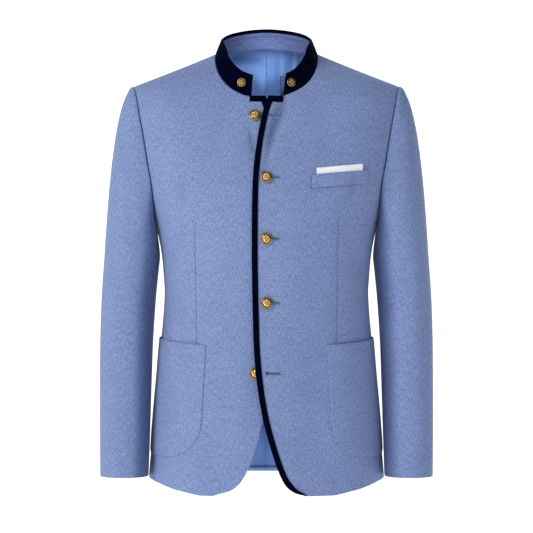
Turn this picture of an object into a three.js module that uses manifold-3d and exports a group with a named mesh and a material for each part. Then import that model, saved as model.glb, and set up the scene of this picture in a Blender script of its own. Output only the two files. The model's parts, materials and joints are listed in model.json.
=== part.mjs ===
// A man's short blazer with a standing band collar, worn-shape and hollow, as on an unseen figure.
// Millimetres. +Z is up, the front faces -Y, and the wearer's left is +X. The origin is midway between
// the two points where the shoulder seams meet the neckline, which is where the wearer carries it.
import * as THREE from "three";
import Module from "manifold-3d";
import { mergeVertices } from "three/addons/utils/BufferGeometryUtils.js";

const wasm = await Module();
wasm.setup();

// Cloth and gaps.
const BODY_CLOTH = 2.2; // wool with its canvas
const SLEEVE_CLOTH = 2.0;
const LINING_CLOTH = 1.0;
const SEAM_GAP = 0.5; // between two pieces at a seam
const LAID_GAP = 0.45; // between a panel and what lies on it

// Shoulders and neck.
const NECK_HALF = 86; // half the width of the neck opening
const NECK_DROP = 73; // from the shoulder-neck point down to the front neck edge
const NECK_BACK = 68; // from the shoulder seam back to the nape
const NECK_ROUND = 0.93; // below 1, the neckline is squarer than an ellipse
const NAPE_ROUND = 0.95; // the same behind
const SHOULDER_SLOPE = 0.392; // fall of the shoulder seam for each millimetre outwards
const SHOULDER_EASE = 10; // how softly the fall begins beside the neck
const FLAT_CHEST_DROP = 300; // where sections have become level
const BODY_SQUARENESS = 2.6; // 2 is an ellipse, more is boxier
// Near the neck the body is tilted: it falls in front and rises behind, by this much for each
// millimetre of depth. That dies away sideways (in front only from frontFrom outwards) and downwards.
const FRONT_TILT = 0.6;
const BACK_TILT = 0.59;
const TILT_REACH = { frontFrom: 60, front: 95, back: 108 };
const TILT_FADES = { from: 40, to: 260 };

// The body's sections, from the shoulder ridge down: drop below the ridge, half width, and depth
// in front of and behind the shoulder seam.
const SECTIONS = [
  { drop: 0, half: 234, front: 0, back: 0 },
  { drop: 4, half: 234, front: 29.4, back: 30 },
  { drop: 12, half: 233, front: 50, back: 52 },
  { drop: 28, half: 231, front: 73, back: 75 },
  { drop: 50, half: 229, front: 90, back: 92 },
  { drop: 85, half: 225, front: 103, back: 104 },
  { drop: 130, half: 219, front: 115, back: 112 },
  { drop: 180, half: 212, front: 124, back: 115 },
  { drop: 230, half: 200.5, front: 129, back: 114 },
  { drop: 275, half: 186, front: 130, back: 110 },
  { drop: 320, half: 176.5, front: 128, back: 104 },
  { drop: 365, half: 172, front: 125, back: 98 },
  { drop: 400, half: 170, front: 123, back: 96 },
  { drop: 450, half: 173, front: 124, back: 99 },
  { drop: 510, half: 179, front: 128, back: 107 },
  { drop: 570, half: 185, front: 132, back: 114 },
  { drop: 640, half: 191, front: 135, back: 120 },
  { drop: 700, half: 196, front: 137, back: 123 },
  { drop: 735, half: 198.5, front: 138, back: 124 },
];

// The armhole: at each drop, the angle from the side line to its front and its back edge.
const ARMHOLE = [
  { drop: 0, front: 0.395, back: 0.395 },
  { drop: 20, front: 0.42, back: 0.41 },
  { drop: 60, front: 0.45, back: 0.44 },
  { drop: 110, front: 0.47, back: 0.46 },
  { drop: 160, front: 0.48, back: 0.47 },
  { drop: 200, front: 0.475, back: 0.465 },
  { drop: 232, front: 0.42, back: 0.42 },
  { drop: 256, front: 0.31, back: 0.32 },
  { drop: 270, front: 0.17, back: 0.18 },
  { drop: 275, front: 0, back: 0 },
];

// The front edges, from the neck corner down the opening and round the cutaway to the hem:
// distance from the centre towards the piece's own side, and height.
const OVERLAP_EDGE = [
  { out: 4.2, z: -75.6 },
  { out: -4.4, z: -99 },
  { out: -14.6, z: -152 },
  { out: -21, z: -215 },
  { out: -22.4, z: -320 },
  { out: -21, z: -420 },
  { out: -17.5, z: -505 },
  { out: -7.6, z: -582 },
  { out: 8.4, z: -646 },
  { out: 25.8, z: -694 },
  { out: 42, z: -713 },
  { out: 65, z: -721.5 },
];
const UNDERLAP_EDGE = [
  { out: 2.2, z: -73 },
  { out: -5.5, z: -99 },
  { out: -15, z: -152 },
  { out: -20, z: -215 },
  { out: -22, z: -320 },
  { out: -20, z: -420 },
  { out: -14, z: -500 },
  { out: -2, z: -562 },
  { out: 13, z: -630 },
  { out: 31, z: -681 },
  { out: 52, z: -709 },
  { out: 84, z: -720.5 },
];
// The hem's height against the distance from the centre: lower in front than at the sides and back.
const FRONT_HEM = [
  { out: 60, z: -721.5 },
  { out: 110, z: -721.5 },
  { out: 154, z: -713 },
  { out: 184, z: -704 },
  { out: 200, z: -700 },
];
const BACK_HEM_Z = -702;

// The overlapping left front stands off the right one, more where it hangs free below the last
// fastened button, and passes in front of that button.
const OVERLAP_LIFT = 4.9;
const FREE_LIFT = 6.6;
const LIFT_ENDS = { from: 30, to: 100 }; // where the left front has come back to the body
const FREE_ENDS = { from: -8, to: 70 };
const FREE_STARTS = { from: -425, to: -505 };

// The sleeve below the armhole: inner and outer edge as seen from the front, the depth of its
// centre line and half its depth.
const SLEEVE = [
  { z: -340, inner: 178, outer: 270.5, centre: 2, deep: 66 },
  { z: -400, inner: 184, outer: 274, centre: 0, deep: 62 },
  { z: -470, inner: 188.5, outer: 276, centre: -6, deep: 58 },
  { z: -540, inner: 190.7, outer: 276.5, centre: -15, deep: 54.5 },
  { z: -620, inner: 192.6, outer: 275.8, centre: -27, deep: 51.5 },
  { z: -696, inner: 194.6, outer: 274.4, centre: -40, deep: 49.5 },
];
const SLEEVE_SQUARENESS = 2.2;
const CAP_REACH = 0.36; // how far the sleeve head stands out before it falls, as a share of its length
// The way the cloth leaves the armhole: outwards and down, under the arm and at the shoulder.
const CAP_OUT = { under: 0.12, shoulder: 0.94, power: 1.2 };
const CAP_DOWN = { under: 1, shoulder: 0.34, power: 1.5 };
const CAP_ASIDE = 0.3;

// Collar: a band on the neckline, open in front. Its height is worked out at COLLAR_HEIGHT and then
// stretched, by how far forward the neckline is, to the heights of the table.
const COLLAR_HEIGHT = 37;
const COLLAR_HEIGHTS = [
  { y: -76, height: 37.8 },
  { y: -70.5, height: 37.8 },
  { y: -66, height: 41.5 },
  { y: -60, height: 43 },
  { y: -50, height: 42 },
  { y: -36, height: 39.5 },
  { y: -20, height: 35 },
  { y: 0, height: 27 },
  { y: 25, height: 27.3 },
  { y: 45, height: 30 },
  { y: 58, height: 31.5 },
  { y: 70, height: 30.5 },
];
const COLLAR_FOOT = 0.7; // the outer cloth's inner edge clears the neck edge by this much
const COLLAR_HANGS = 3; // behind, the inner cloth reaches below the neck edge, over the lining's edge
const COLLAR_LAYER_GAP = 0.6; // between its two cloths
const COLLAR_OUTER_CLOTH = 1.6;
const COLLAR_INNER_CLOTH = 1.3;
const COLLAR_FOLD = 6.8; // of the outer cloth turned down inside
const COLLAR_ROUND = 0.5; // the band's bulge at half its height
const COLLAR_LEAN = { front: 0.14, side: 0.38, back: 0.1 };
const COLLAR_HANG = { from: 8, to: 48 }; // how far behind the shoulders the inner cloth starts to hang
// The ends: both clear the binding. The wearer's right one runs on and leans out at its top. On the left,
// each cloth runs on past the neck's corner and is cut back again towards its top, and what is folded
// over gets lower, so that the inner cloth comes up to the top edge.
const RIGHT_END = { runs: 2.8, leans: 1.4, clears: 3.2 };
const LEFT_END = { clears: 1.8, foldLowers: 5.4 };
const OUTER_END = { runs: 0.5, cut: 7 };
const INNER_END = { runs: 4.8, cut: 0 };

// Edge binding.
const BINDING_WIDTH = 8.4;
const TAPER = { end: 0.15, each: 0.5 }; // shares of its width at its lower end and more at each step up
const BINDING_CLOTH = 0.9;
const BINDING_LAP = 28; // from the centre, along the neck edge, to the collar's ends
const BINDING_CLEAR = 0.35; // between the cloth's edge and the fold round it
const UNDERLAP_BINDING_END = -200;

// Pockets.
const PATCH = { width: 172, height: 182, corner: 58, cloth: 1.8, gap: 1.05, steps: 5, columns: 9 };
const PATCH_AT = { top: -479, topRise: 12, inner: 97.7, innerSlant: 0.06 };
const WALK_TURN = 1.4; // the most a pocket reaches round the body, as an angle
const WELT = { width: 100, height: 23, cloth: 1.8, standOff: 2.3 };
const WELT_AT = { left: 71.5, bottom: -226, rise: 0.1, narrows: 0.95 }; // narrows: the chest turns away
const SQUARE = { inset: 10, width: 80, show: 10.5, tuck: 12, cloth: 1.5 };

// Buttons: a domed metal button on a shank. Place is distance to the wearer's left, and height.
const FRONT_BUTTON = { radius: 10, dome: 4.6, shank: 1.6 };
const COLLAR_BUTTON = { radius: 7.4, dome: 3.6, shank: 1.4 };
const BUTTONS = [
  { name: "front_button_1", out: -18.7, z: -105, fastened: false },
  { name: "front_button_2", out: 0, z: -207.8, fastened: true },
  { name: "front_button_3", out: 0, z: -306, fastened: true },
  { name: "front_button_4", out: 0.5, z: -410, fastened: true },
  { name: "front_button_5", out: -18, z: -524, fastened: false },
];
const COLLAR_BUTTON_AT = { out: 41.5, up: 0.48 }; // up is a share of the collar's height
const BUTTONHOLE = { eye: 2.3, slit: 1.5, length: 19.8 };
const UNFASTENED_EYE = 1;

// How finely the walls are divided, after a line has been traced in DENSE steps.
const DENSE = 240;
const HEM_BEND = 4; // rows bend to the hem by this power of how far down they are
const CUTAWAY = { from: 600, to: 700, across: 2, down: 0.3 }; // where the edges' steps get shorter
const NECK_STEPS = 7; // along the collar seam, in front and again behind
const ARM_STEPS = 12; // along each half of the armhole
const FRONT_ARM_STEPS = 11; // of these, on the front; the rest are on the side piece
const BACK_ARM_STEPS = 9;
const SIDE_STEPS = 16;
const FRONT_COLUMNS = 12;
const BACK_COLUMNS = 8;
const CAP_ROWS = [0, 0.03, 0.08, 0.16, 0.28, 0.42, 0.56, 0.7, 0.85, 1];
const SLEEVE_ROWS = 12;
const FORE_SEAM = 10; // armhole steps from the shoulder to the sleeve's two seams
const HIND_SEAM = 8;

const COLOURS = {
  wool: { color: 0x8296c6, roughness: 0.9 },
  velvet: { color: 0x0b1030, roughness: 0.85 },
  collarWool: { color: 0x7580ab, roughness: 0.9 },
  satin: { color: 0x5f8ad0, roughness: 0.45 },
  linen: { color: 0xf4f2f2, roughness: 0.8 },
  brass: { color: 0xc9973a, roughness: 0.3, metalness: 1 },
};

const garment = new THREE.Group();
const { lerp, smoothstep, clamp } = THREE.MathUtils;
const HANDS = Object.entries({ left: 1, right: -1 });

// Curves through tables.
function catmullRom(a, b, c, d, t) {
  return (
    b + 0.5 * t * (c - a + t * (2 * a - 5 * b + 4 * c - d + t * (3 * (b - c) + d - a)))
  );
}

// A smooth row of a table between its rows, with the rows past either end given by before and after.
function rowAt(table, at, before, after) {
  const last = table.length - 1;
  const i = Math.max(-1, Math.min(Math.floor(at), last - 1));
  const pick = (k) => (k < 0 ? before(-k) : k > last ? after(k - last) : table[k]);
  const [a, b, c, d] = [i - 1, i, i + 1, i + 2].map(pick);
  return Object.fromEntries(
    Object.keys(table[0]).map((key) => [key, catmullRom(a[key], b[key], c[key], d[key], at - i)]),
  );
}

function continued(table, fromEnd) {
  const end = fromEnd ? table.length - 1 : 0;
  const next = fromEnd ? end - 1 : 1;
  return () =>
    Object.fromEntries(
      Object.keys(table[0]).map((key) => [key, 2 * table[end][key] - table[next][key]]),
    );
}

// The value of one column where another has a given value, straight between rows.
function columnAt(table, key, value, wanted) {
  const rising = table[1][key] > table[0][key];
  let i = 0;
  while (i < table.length - 2 && (rising ? value > table[i + 1][key] : value < table[i + 1][key])) i++;
  const a = table[i];
  const b = table[i + 1];
  const t = clamp((value - a[key]) / (b[key] - a[key]), -0.5, 1.5);
  return lerp(a[wanted], b[wanted], t);
}

function solve(low, high, belowTarget) {
  for (let i = 0; i < 44; i++) {
    const middle = (low + high) / 2;
    if (belowTarget(middle)) low = middle;
    else high = middle;
  }
  return (low + high) / 2;
}

// Evenly spaced entries along a dense list of parameters, by the distance between their points.
function spaced(dense, steps, pointOf) {
  const lengths = [0];
  for (let i = 1; i < dense.length; i++)
    lengths.push(lengths[i - 1] + pointOf(dense[i]).distanceTo(pointOf(dense[i - 1])));
  const total = lengths[lengths.length - 1];
  return Array.from({ length: steps + 1 }, (_, k) => {
    const goal = (total * k) / steps;
    let i = 1;
    while (i < lengths.length - 1 && lengths[i] < goal) i++;
    const t = (goal - lengths[i - 1]) / Math.max(lengths[i] - lengths[i - 1], 1e-9);
    return dense[i].map((value, c) => lerp(dense[i - 1][c], value, t));
  });
}

const range = (steps) => Array.from({ length: steps + 1 }, (_, i) => i / steps);

// The body's surface. An angle runs round from the centre front (0) by the side (a quarter turn) to
// the centre back (a half turn). A level counts the section table's rows down from the shoulder.
function sectionAt(level) {
  const mirrored = (k) => ({ ...SECTIONS[k], front: -SECTIONS[k].front, back: -SECTIONS[k].back });
  return rowAt(SECTIONS, level, mirrored, continued(SECTIONS, true));
}

const softFall = (x) => {
  const past = Math.abs(x) - NECK_HALF + 2;
  return (past + Math.hypot(past, SHOULDER_EASE)) / 2;
};
const shoulderFall = (x) => SHOULDER_SLOPE * (softFall(x) - softFall(NECK_HALF));

function neckTilt(x, y) {
  const past = Math.max(0, Math.abs(x) - TILT_REACH.frontFrom);
  return y > 0
    ? BACK_TILT * Math.exp(-((x / TILT_REACH.back) ** 2))
    : FRONT_TILT * Math.exp(-((past / TILT_REACH.front) ** 2));
}

function bodyPoint(angle, level) {
  const s = sectionAt(level);
  const sine = Math.sin(angle);
  const cosine = Math.cos(angle);
  const x = Math.sign(sine) * s.half * Math.abs(sine) ** (2 / BODY_SQUARENESS);
  const y = -cosine * (cosine > 0 ? s.front : s.back);
  const flat = Math.max(0, 1 - s.drop / FLAT_CHEST_DROP) ** 1.5;
  const tilt = neckTilt(x, y) * (1 - smoothstep(s.drop, TILT_FADES.from, TILT_FADES.to));
  return new THREE.Vector3(x, y, -s.drop - shoulderFall(x) * flat + tilt * y);
}

function bodyNormal(angle, level) {
  const h = 1e-3;
  const round = bodyPoint(angle + h, level).sub(bodyPoint(angle - h, level));
  const down = bodyPoint(angle, level + h).sub(bodyPoint(angle, level - h));
  return down.cross(round).normalize();
}

function angleOf(x, level) {
  const share = Math.min(1, Math.abs(x) / sectionAt(level).half);
  return Math.sign(x) * Math.asin(share ** (BODY_SQUARENESS / 2));
}

const BOTTOM_LEVEL = SECTIONS.length - 1;

// [angle, level] of the front at a distance from the centre and a height.
function frontPlace(x, z) {
  const level = solve(0, BOTTOM_LEVEL, (l) => bodyPoint(angleOf(x, l), l).z > z);
  return [angleOf(x, level), level];
}

// [angle, level] of the back's upper part at a distance from the centre and behind the shoulder.
function backPlace(x, y) {
  const level = solve(0, 6, (l) => sectionAt(l).back * Math.cos(angleOf(x, l)) < y);
  return [Math.PI - angleOf(x, level), level];
}

const levelAtHeight = (angle, z) => solve(3, BOTTOM_LEVEL, (l) => bodyPoint(angle, l).z > z);
const placePoint = ([angle, level]) => bodyPoint(angle, level);

// How far the left front stands off the body's surface.
function overlapLift(x, z) {
  const fade = 1 - smoothstep(x, LIFT_ENDS.from, LIFT_ENDS.to);
  const free = smoothstep(-z, -FREE_STARTS.from, -FREE_STARTS.to);
  const near = 1 - smoothstep(x, FREE_ENDS.from, FREE_ENDS.to);
  return OVERLAP_LIFT * fade + FREE_LIFT * free * near;
}

const noLift = () => 0;

// A point of a panel's outer face, moved out by off.
function onPanel([angle, level], lift, off = 0) {
  const p = bodyPoint(angle, level);
  return p.addScaledVector(bodyNormal(angle, level), lift(p.x, p.z) + off);
}

// The seams that pieces share, as lists of [angle, level].
const NECK_TURN = Math.acos((BINDING_LAP / NECK_HALF) ** (1 / NECK_ROUND)); // to the collar's end
const neckFront = spaced(
  range(DENSE).map((t) => {
    if (t === 0) return [angleOf(NECK_HALF, 0), 0];
    const fall = (Math.sin(t * NECK_TURN) / Math.sin(NECK_TURN)) ** NECK_ROUND;
    return frontPlace(NECK_HALF * Math.cos(t * NECK_TURN) ** NECK_ROUND, -NECK_DROP * fall);
  }),
  NECK_STEPS,
  placePoint,
);

const neckBack = spaced(
  range(DENSE).map((t) => {
    const turn = (t * Math.PI) / 2;
    if (t === 0) return [Math.PI - angleOf(NECK_HALF, 0), 0];
    return backPlace(NECK_HALF * Math.cos(turn) ** NAPE_ROUND, NECK_BACK * Math.sin(turn));
  }),
  NECK_STEPS,
  placePoint,
);

// Half of the armhole from the shoulder to its lowest point: way is -1 for the front, 1 for the back.
function armholeHalf(way) {
  const key = way < 0 ? "front" : "back";
  const mirrored = (k) => {
    const row = ARMHOLE[ARMHOLE.length - 1 - k];
    return { drop: row.drop, front: -row.front, back: -row.back };
  };
  return range(DENSE).map((t) => {
    const row = rowAt(ARMHOLE, t * (ARMHOLE.length - 1), continued(ARMHOLE, false), mirrored);
    const level = solve(0, BOTTOM_LEVEL, (l) => sectionAt(l).drop < row.drop);
    return [Math.PI / 2 + way * row[key], level];
  });
}
const ARM_FRONT = spaced(armholeHalf(-1), 8 * ARM_STEPS, placePoint);
const ARM_BACK = spaced(armholeHalf(1), 8 * ARM_STEPS, placePoint);
const armFront = ARM_FRONT.filter((_, i) => i % 8 === 0);
const armBack = ARM_BACK.filter((_, i) => i % 8 === 0);

// A seam from the armhole down to the hem, drifting to another angle by the waist.
function sideSeam(start, endAngle, hemOf) {
  const dense = range(DENSE).map((t) => {
    const angle = lerp(start[0], endAngle, smoothstep(t, 0, 0.35));
    const top = placePoint(start).z;
    return [angle, levelAtHeight(angle, lerp(top, hemOf(angle), t))];
  });
  dense[0] = start;
  return spaced(dense, SIDE_STEPS, placePoint);
}
const frontHem = (angle) => {
  const x = bodyPoint(angle, BOTTOM_LEVEL - 1).x;
  return columnAt(FRONT_HEM, "out", x, "z");
};
const SIDE_ANGLE = 1.47;
const HIND_ANGLE = 2.06;
const hemBehind = (angle) =>
  lerp(frontHem(SIDE_ANGLE), BACK_HEM_Z, smoothstep(angle, SIDE_ANGLE, HIND_ANGLE));
const foreSeam = sideSeam(armFront[FRONT_ARM_STEPS], SIDE_ANGLE, frontHem);
const hindSeam = sideSeam(armBack[BACK_ARM_STEPS], HIND_ANGLE, hemBehind);

// A panel's rows, each an even walk from its left to its right boundary. The last rows bend to the hem.
function panelRows(left, right, columns, hemOf) {
  const rows = left.length - 1;
  const ends = [left[rows], right[rows]];
  return left.map((from, i) => {
    const to = right[i];
    const share = (i / rows) ** HEM_BEND;
    const dense = range(DENSE / 4).map((u) => {
      const angle = lerp(from[0], to[0], u);
      const hemAngle = lerp(ends[0][0], ends[1][0], u);
      const hem = levelAtHeight(hemAngle, hemOf(hemAngle)) - lerp(ends[0][1], ends[1][1], u);
      return [angle, lerp(from[1], to[1], u) + (u > 0 && u < 1 ? share * hem : 0)];
    });
    return spaced(dense, columns, placePoint);
  });
}

// Solids.
function signedVolume(position, index) {
  let six = 0;
  for (let i = 0; i < index.length; i += 3) {
    const [a, b, c] = [0, 1, 2].map((k) => new THREE.Vector3().fromArray(position, 3 * index[i + k]));
    six += a.dot(b.cross(c));
  }
  return six / 6;
}

function turnInsideOut(index) {
  for (let i = 0; i < index.length; i += 3) [index[i + 1], index[i + 2]] = [index[i + 2], index[i + 1]];
}

function solidGeometry(points, index) {
  const position = points.flatMap((p) => p.toArray());
  if (signedVolume(position, index) < 0) turnInsideOut(index);
  const geometry = new THREE.BufferGeometry();
  geometry.setAttribute("position", new THREE.Float32BufferAttribute(position, 3));
  geometry.setIndex(index);
  return geometry;
}

// A wall between two grids of points, closed round its rim.
function wall(outer, inner) {
  const rows = outer.length;
  const columns = outer[0].length;
  const at = (i, j) => i * columns + j;
  const back = rows * columns;
  const index = [];
  const quad = (a, b, c, d) => index.push(a, b, c, a, c, d);
  for (let i = 0; i < rows - 1; i++)
    for (let j = 0; j < columns - 1; j++) {
      const [a, b, c, d] = [at(i, j), at(i + 1, j), at(i + 1, j + 1), at(i, j + 1)];
      quad(a, b, c, d);
      quad(back + a, back + d, back + c, back + b);
    }
  const rim = [];
  for (let j = 0; j < columns - 1; j++) rim.push(at(0, j));
  for (let i = 0; i < rows - 1; i++) rim.push(at(i, columns - 1));
  for (let j = columns - 1; j > 0; j--) rim.push(at(rows - 1, j));
  for (let i = rows - 1; i > 0; i--) rim.push(at(i, 0));
  rim.forEach((a, k) => {
    const b = rim[(k + 1) % rim.length];
    quad(a, b, back + b, back + a);
  });
  return solidGeometry([...outer.flat(), ...inner.flat()], index);
}

// A section carried along stations, closed at both ends. Each station lists the section's points.
function carried(stations, section) {
  const n = section.length;
  const index = [];
  for (let i = 0; i < stations.length - 1; i++)
    for (let k = 0; k < n; k++) {
      const a = i * n + k;
      const b = i * n + ((k + 1) % n);
      index.push(a, b, b + n, a, b + n, a + n);
    }
  const end = (stations.length - 1) * n;
  const { area, triangulateShape } = THREE.ShapeUtils;
  for (const cap of triangulateShape(section, [])) {
    const turned = area(cap.map((k) => section[k])) * area(section) < 0;
    const [a, b, c] = turned ? [...cap].reverse() : cap;
    index.push(a, c, b, end + a, end + b, end + c);
  }
  return solidGeometry(stations.flat(), index);
}

// Draws the rim of a grid back into the piece, square to the rim, to leave the seams' gaps.
function seamInset(grid, { top = 0, bottom = 0, left = 0, right = 0 }) {
  const rows = grid.length - 1;
  const columns = grid[0].length - 1;
  const source = grid.map((row) => row.map((p) => p.clone()));
  const at = (i, j) => source[clamp(i, 0, rows)][clamp(j, 0, columns)];
  const draw = (i, j, down, across, gap) => {
    const inward = at(i + down, j + across).clone().sub(at(i, j));
    const rim = at(i + Math.abs(across), j + Math.abs(down)).clone();
    rim.sub(at(i - Math.abs(across), j - Math.abs(down))).normalize();
    inward.addScaledVector(rim, -inward.dot(rim));
    grid[i][j].addScaledVector(inward.normalize(), gap);
  };
  for (let i = 0; i <= rows; i++) {
    draw(i, 0, 0, 1, left);
    draw(i, columns, 0, -1, right);
  }
  for (let j = 0; j <= columns; j++) {
    draw(0, j, 1, 0, top);
    draw(rows, j, -1, 0, bottom);
  }
  return grid;
}
const HALF_GAP = SEAM_GAP / 2;
const ALL_ROUND = { top: HALF_GAP, bottom: HALF_GAP, left: HALF_GAP, right: HALF_GAP };

function add(name, geometry, finish, side = 1) {
  if (side < 0) {
    geometry.scale(-1, 1, 1);
    turnInsideOut(geometry.index.array);
  }
  const mesh = new THREE.Mesh(geometry, new THREE.MeshStandardMaterial(COLOURS[finish]));
  mesh.name = name;
  garment.add(mesh);
  return mesh;
}

// A body panel from its rows of places.
function panel(rows, lift, cloth = BODY_CLOTH, off = 0, inset = ALL_ROUND) {
  const outer = seamInset(rows.map((row) => row.map((place) => onPanel(place, lift, off))), inset);
  const inner = outer.map((row, i) =>
    row.map((p, j) => p.clone().addScaledVector(bodyNormal(...rows[i][j]), -cloth)),
  );
  return wall(outer, inner);
}

// Fronts.
function edgePlaces(table) {
  const dense = range(DENSE).map((t) => {
    const row = rowAt(table, t * (table.length - 1), continued(table, false), continued(table, true));
    return frontPlace(row.out, row.z);
  });
  const down = spaced(dense, FRONT_ARM_STEPS + SIDE_STEPS - NECK_STEPS - 2, (place) => {
    const p = placePoint(place);
    const curve = smoothstep(-p.z, CUTAWAY.from, CUTAWAY.to);
    return p.set(p.x * (1 + CUTAWAY.across * curve), p.y, p.z * (1 + CUTAWAY.down * curve));
  });
  return [frontPlace(lerp(table[0].out, BINDING_LAP, 0.5), table[0].z), ...down];
}

function frontRows(edge) {
  const left = [...neckFront, ...edgePlaces(edge)];
  const right = [...armFront.slice(0, FRONT_ARM_STEPS), ...foreSeam];
  return panelRows(left, right, FRONT_COLUMNS, frontHem);
}

function solidOf(geometry) {
  const bare = geometry.clone();
  bare.deleteAttribute("normal");
  bare.deleteAttribute("uv");
  const merged = mergeVertices(bare, 1e-4);
  return new wasm.Manifold(
    new wasm.Mesh({
      numProp: 3,
      vertProperties: merged.attributes.position.array,
      triVerts: new Uint32Array(merged.index.array),
    }),
  );
}

function geometryOf(solid) {
  const mesh = solid.getMesh();
  const position = new THREE.BufferAttribute(Float32Array.from(mesh.vertProperties), 3);
  const geometry = new THREE.BufferGeometry();
  geometry.setAttribute("position", position);
  geometry.setIndex(new THREE.BufferAttribute(Uint32Array.from(mesh.triVerts), 1));
  return geometry;
}

// Axes on the left front: along the cloth towards the side, down the cloth, and out of it.
function frontAxes(x, z, lift) {
  const place = frontPlace(x, z);
  const normal = bodyNormal(...place);
  const across = new THREE.Vector3(1, 0, 0).addScaledVector(normal, -normal.x).normalize();
  const up = normal.clone().cross(across);
  const axes = new THREE.Matrix4().makeBasis(across, up, normal);
  return axes.setPosition(onPanel(place, lift));
}

// A keyhole buttonhole: a round eye at the origin and a slit along +X, as a cutter through the cloth.
function buttonholeCutter() {
  const half = BUTTONHOLE.slit / 2;
  const start = Math.asin(half / BUTTONHOLE.eye);
  const shape = new THREE.Shape();
  shape.absarc(0, 0, BUTTONHOLE.eye, start, 2 * Math.PI - start, false);
  shape.lineTo(BUTTONHOLE.length, -half);
  shape.lineTo(BUTTONHOLE.length, half);
  const options = { depth: 3 * BODY_CLOTH, bevelEnabled: false, curveSegments: 5 };
  return new THREE.ExtrudeGeometry(shape, options).translate(0, 0, -2 * BODY_CLOTH);
}

function leftFront() {
  let cloth = solidOf(panel(frontRows(OVERLAP_EDGE), overlapLift));
  for (const { out, z, fastened } of BUTTONS) {
    const axes = frontAxes(fastened ? out : UNFASTENED_EYE, z, overlapLift);
    cloth = cloth.subtract(solidOf(buttonholeCutter().applyMatrix4(axes)));
  }
  return geometryOf(cloth);
}

add("front_left", leftFront(), "wool");
add("front_right", panel(frontRows(UNDERLAP_EDGE), noLift), "wool", -1);

// Side pieces and back.
const sideRows = (() => {
  const top = [...armFront.slice(FRONT_ARM_STEPS), ...armBack.slice(BACK_ARM_STEPS, -1).reverse()];
  const rows = panelRows(foreSeam, hindSeam, top.length - 1, hemBehind);
  const reach = 3; // rows over which the top edge's curve dies out
  return rows.map((row, i) =>
    row.map((place, j) => {
      const share = Math.max(0, 1 - i / reach);
      return place.map((value, c) => value + share * (top[j][c] - rows[0][j][c]));
    }),
  );
})();

const centreBack = (() => {
  const start = neckBack[NECK_STEPS];
  const dense = range(DENSE).map((t) => [
    Math.PI,
    lerp(start[1], levelAtHeight(Math.PI, BACK_HEM_Z), t),
  ]);
  return spaced(dense, BACK_ARM_STEPS + SIDE_STEPS - NECK_STEPS, placePoint);
})();
const backRows = panelRows(
  [...neckBack.slice(0, -1), ...centreBack],
  [...armBack.slice(0, BACK_ARM_STEPS), ...hindSeam],
  BACK_COLUMNS,
  () => BACK_HEM_Z,
);

for (const [hand, side] of HANDS) {
  add("side_" + hand, panel(sideRows, noLift), "wool", side);
  add("back_" + hand, panel(backRows, noLift), "wool", side);
}

// The lining shows inside the back, at the neck and below the fronts.
const LINING_GAP = 0.7;
const LINING_EDGES = { top: 1.2, bottom: 9, left: HALF_GAP, right: 1.5 };
for (const [hand, side] of HANDS) {
  const lining = panel(backRows, noLift, LINING_CLOTH, -BODY_CLOTH - LINING_GAP, LINING_EDGES);
  add("back_lining_" + hand, lining, "satin", side);
}

// Sleeves. The turn is 0 at the shoulder, then front, underarm and back.
const signedPower = (value, power) => Math.sign(value) * Math.abs(value) ** power;

function armholePlace(turn) {
  const share = (turn / Math.PI + 2) % 2;
  const list = share <= 1 ? ARM_FRONT : ARM_BACK;
  const at = (share <= 1 ? share : 2 - share) * (list.length - 1);
  const i = Math.min(Math.floor(at), list.length - 2);
  return list[i].map((value, c) => lerp(value, list[i + 1][c], at - i));
}

const sleeveRow = (at) => rowAt(SLEEVE, at, continued(SLEEVE, false), continued(SLEEVE, true));

function sleeveRing(turn, z) {
  const ring = sleeveRow(solve(0, SLEEVE.length - 1, (at) => sleeveRow(at).z > z));
  const power = 2 / SLEEVE_SQUARENESS;
  const half = (ring.outer - ring.inner) / 2;
  const middle = (ring.outer + ring.inner) / 2;
  return new THREE.Vector3(
    middle + half * signedPower(Math.cos(turn), power),
    ring.centre - ring.deep * signedPower(Math.sin(turn), power),
    z,
  );
}

function capTangent(turn) {
  const up = (1 + Math.cos(turn)) / 2;
  const out = lerp(CAP_OUT.under, CAP_OUT.shoulder, up ** CAP_OUT.power);
  const down = lerp(CAP_DOWN.under, CAP_DOWN.shoulder, up ** CAP_DOWN.power);
  return new THREE.Vector3(out, -CAP_ASIDE * Math.sin(turn), -down).normalize();
}

// A point of the sleeve: from 0 at the armhole to 1 at the first ring, and on to 2 at the cuff.
function sleevePoint(turn, along) {
  const top = SLEEVE[0].z;
  const cuff = SLEEVE[SLEEVE.length - 1].z;
  if (along > 1) return sleeveRing(turn, lerp(top, cuff, along - 1));
  const start = armholePlace(turn);
  const end = sleeveRing(turn, top);
  const begin = placePoint(start).addScaledVector(bodyNormal(...start), SEAM_GAP);
  const out = capTangent(turn);
  begin.addScaledVector(out, SEAM_GAP);
  const length = begin.distanceTo(end);
  const step = 6;
  const falls = sleeveRing(turn, top - step).sub(end).multiplyScalar(length / step);
  const t = along;
  return begin
    .multiplyScalar(1 - t * t * (3 - 2 * t))
    .addScaledVector(end, t * t * (3 - 2 * t))
    .addScaledVector(out, CAP_REACH * length * t * (1 - t) ** 2)
    .addScaledVector(falls, -t * t * (1 - t));
}

function sleeveNormal(turn, along) {
  const h = 1e-3;
  const round = sleevePoint(turn + h, along).sub(sleevePoint(turn - h, along));
  const down = sleevePoint(turn, along + h).sub(sleevePoint(turn, Math.max(0, along - h)));
  return round.cross(down).normalize();
}

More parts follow.
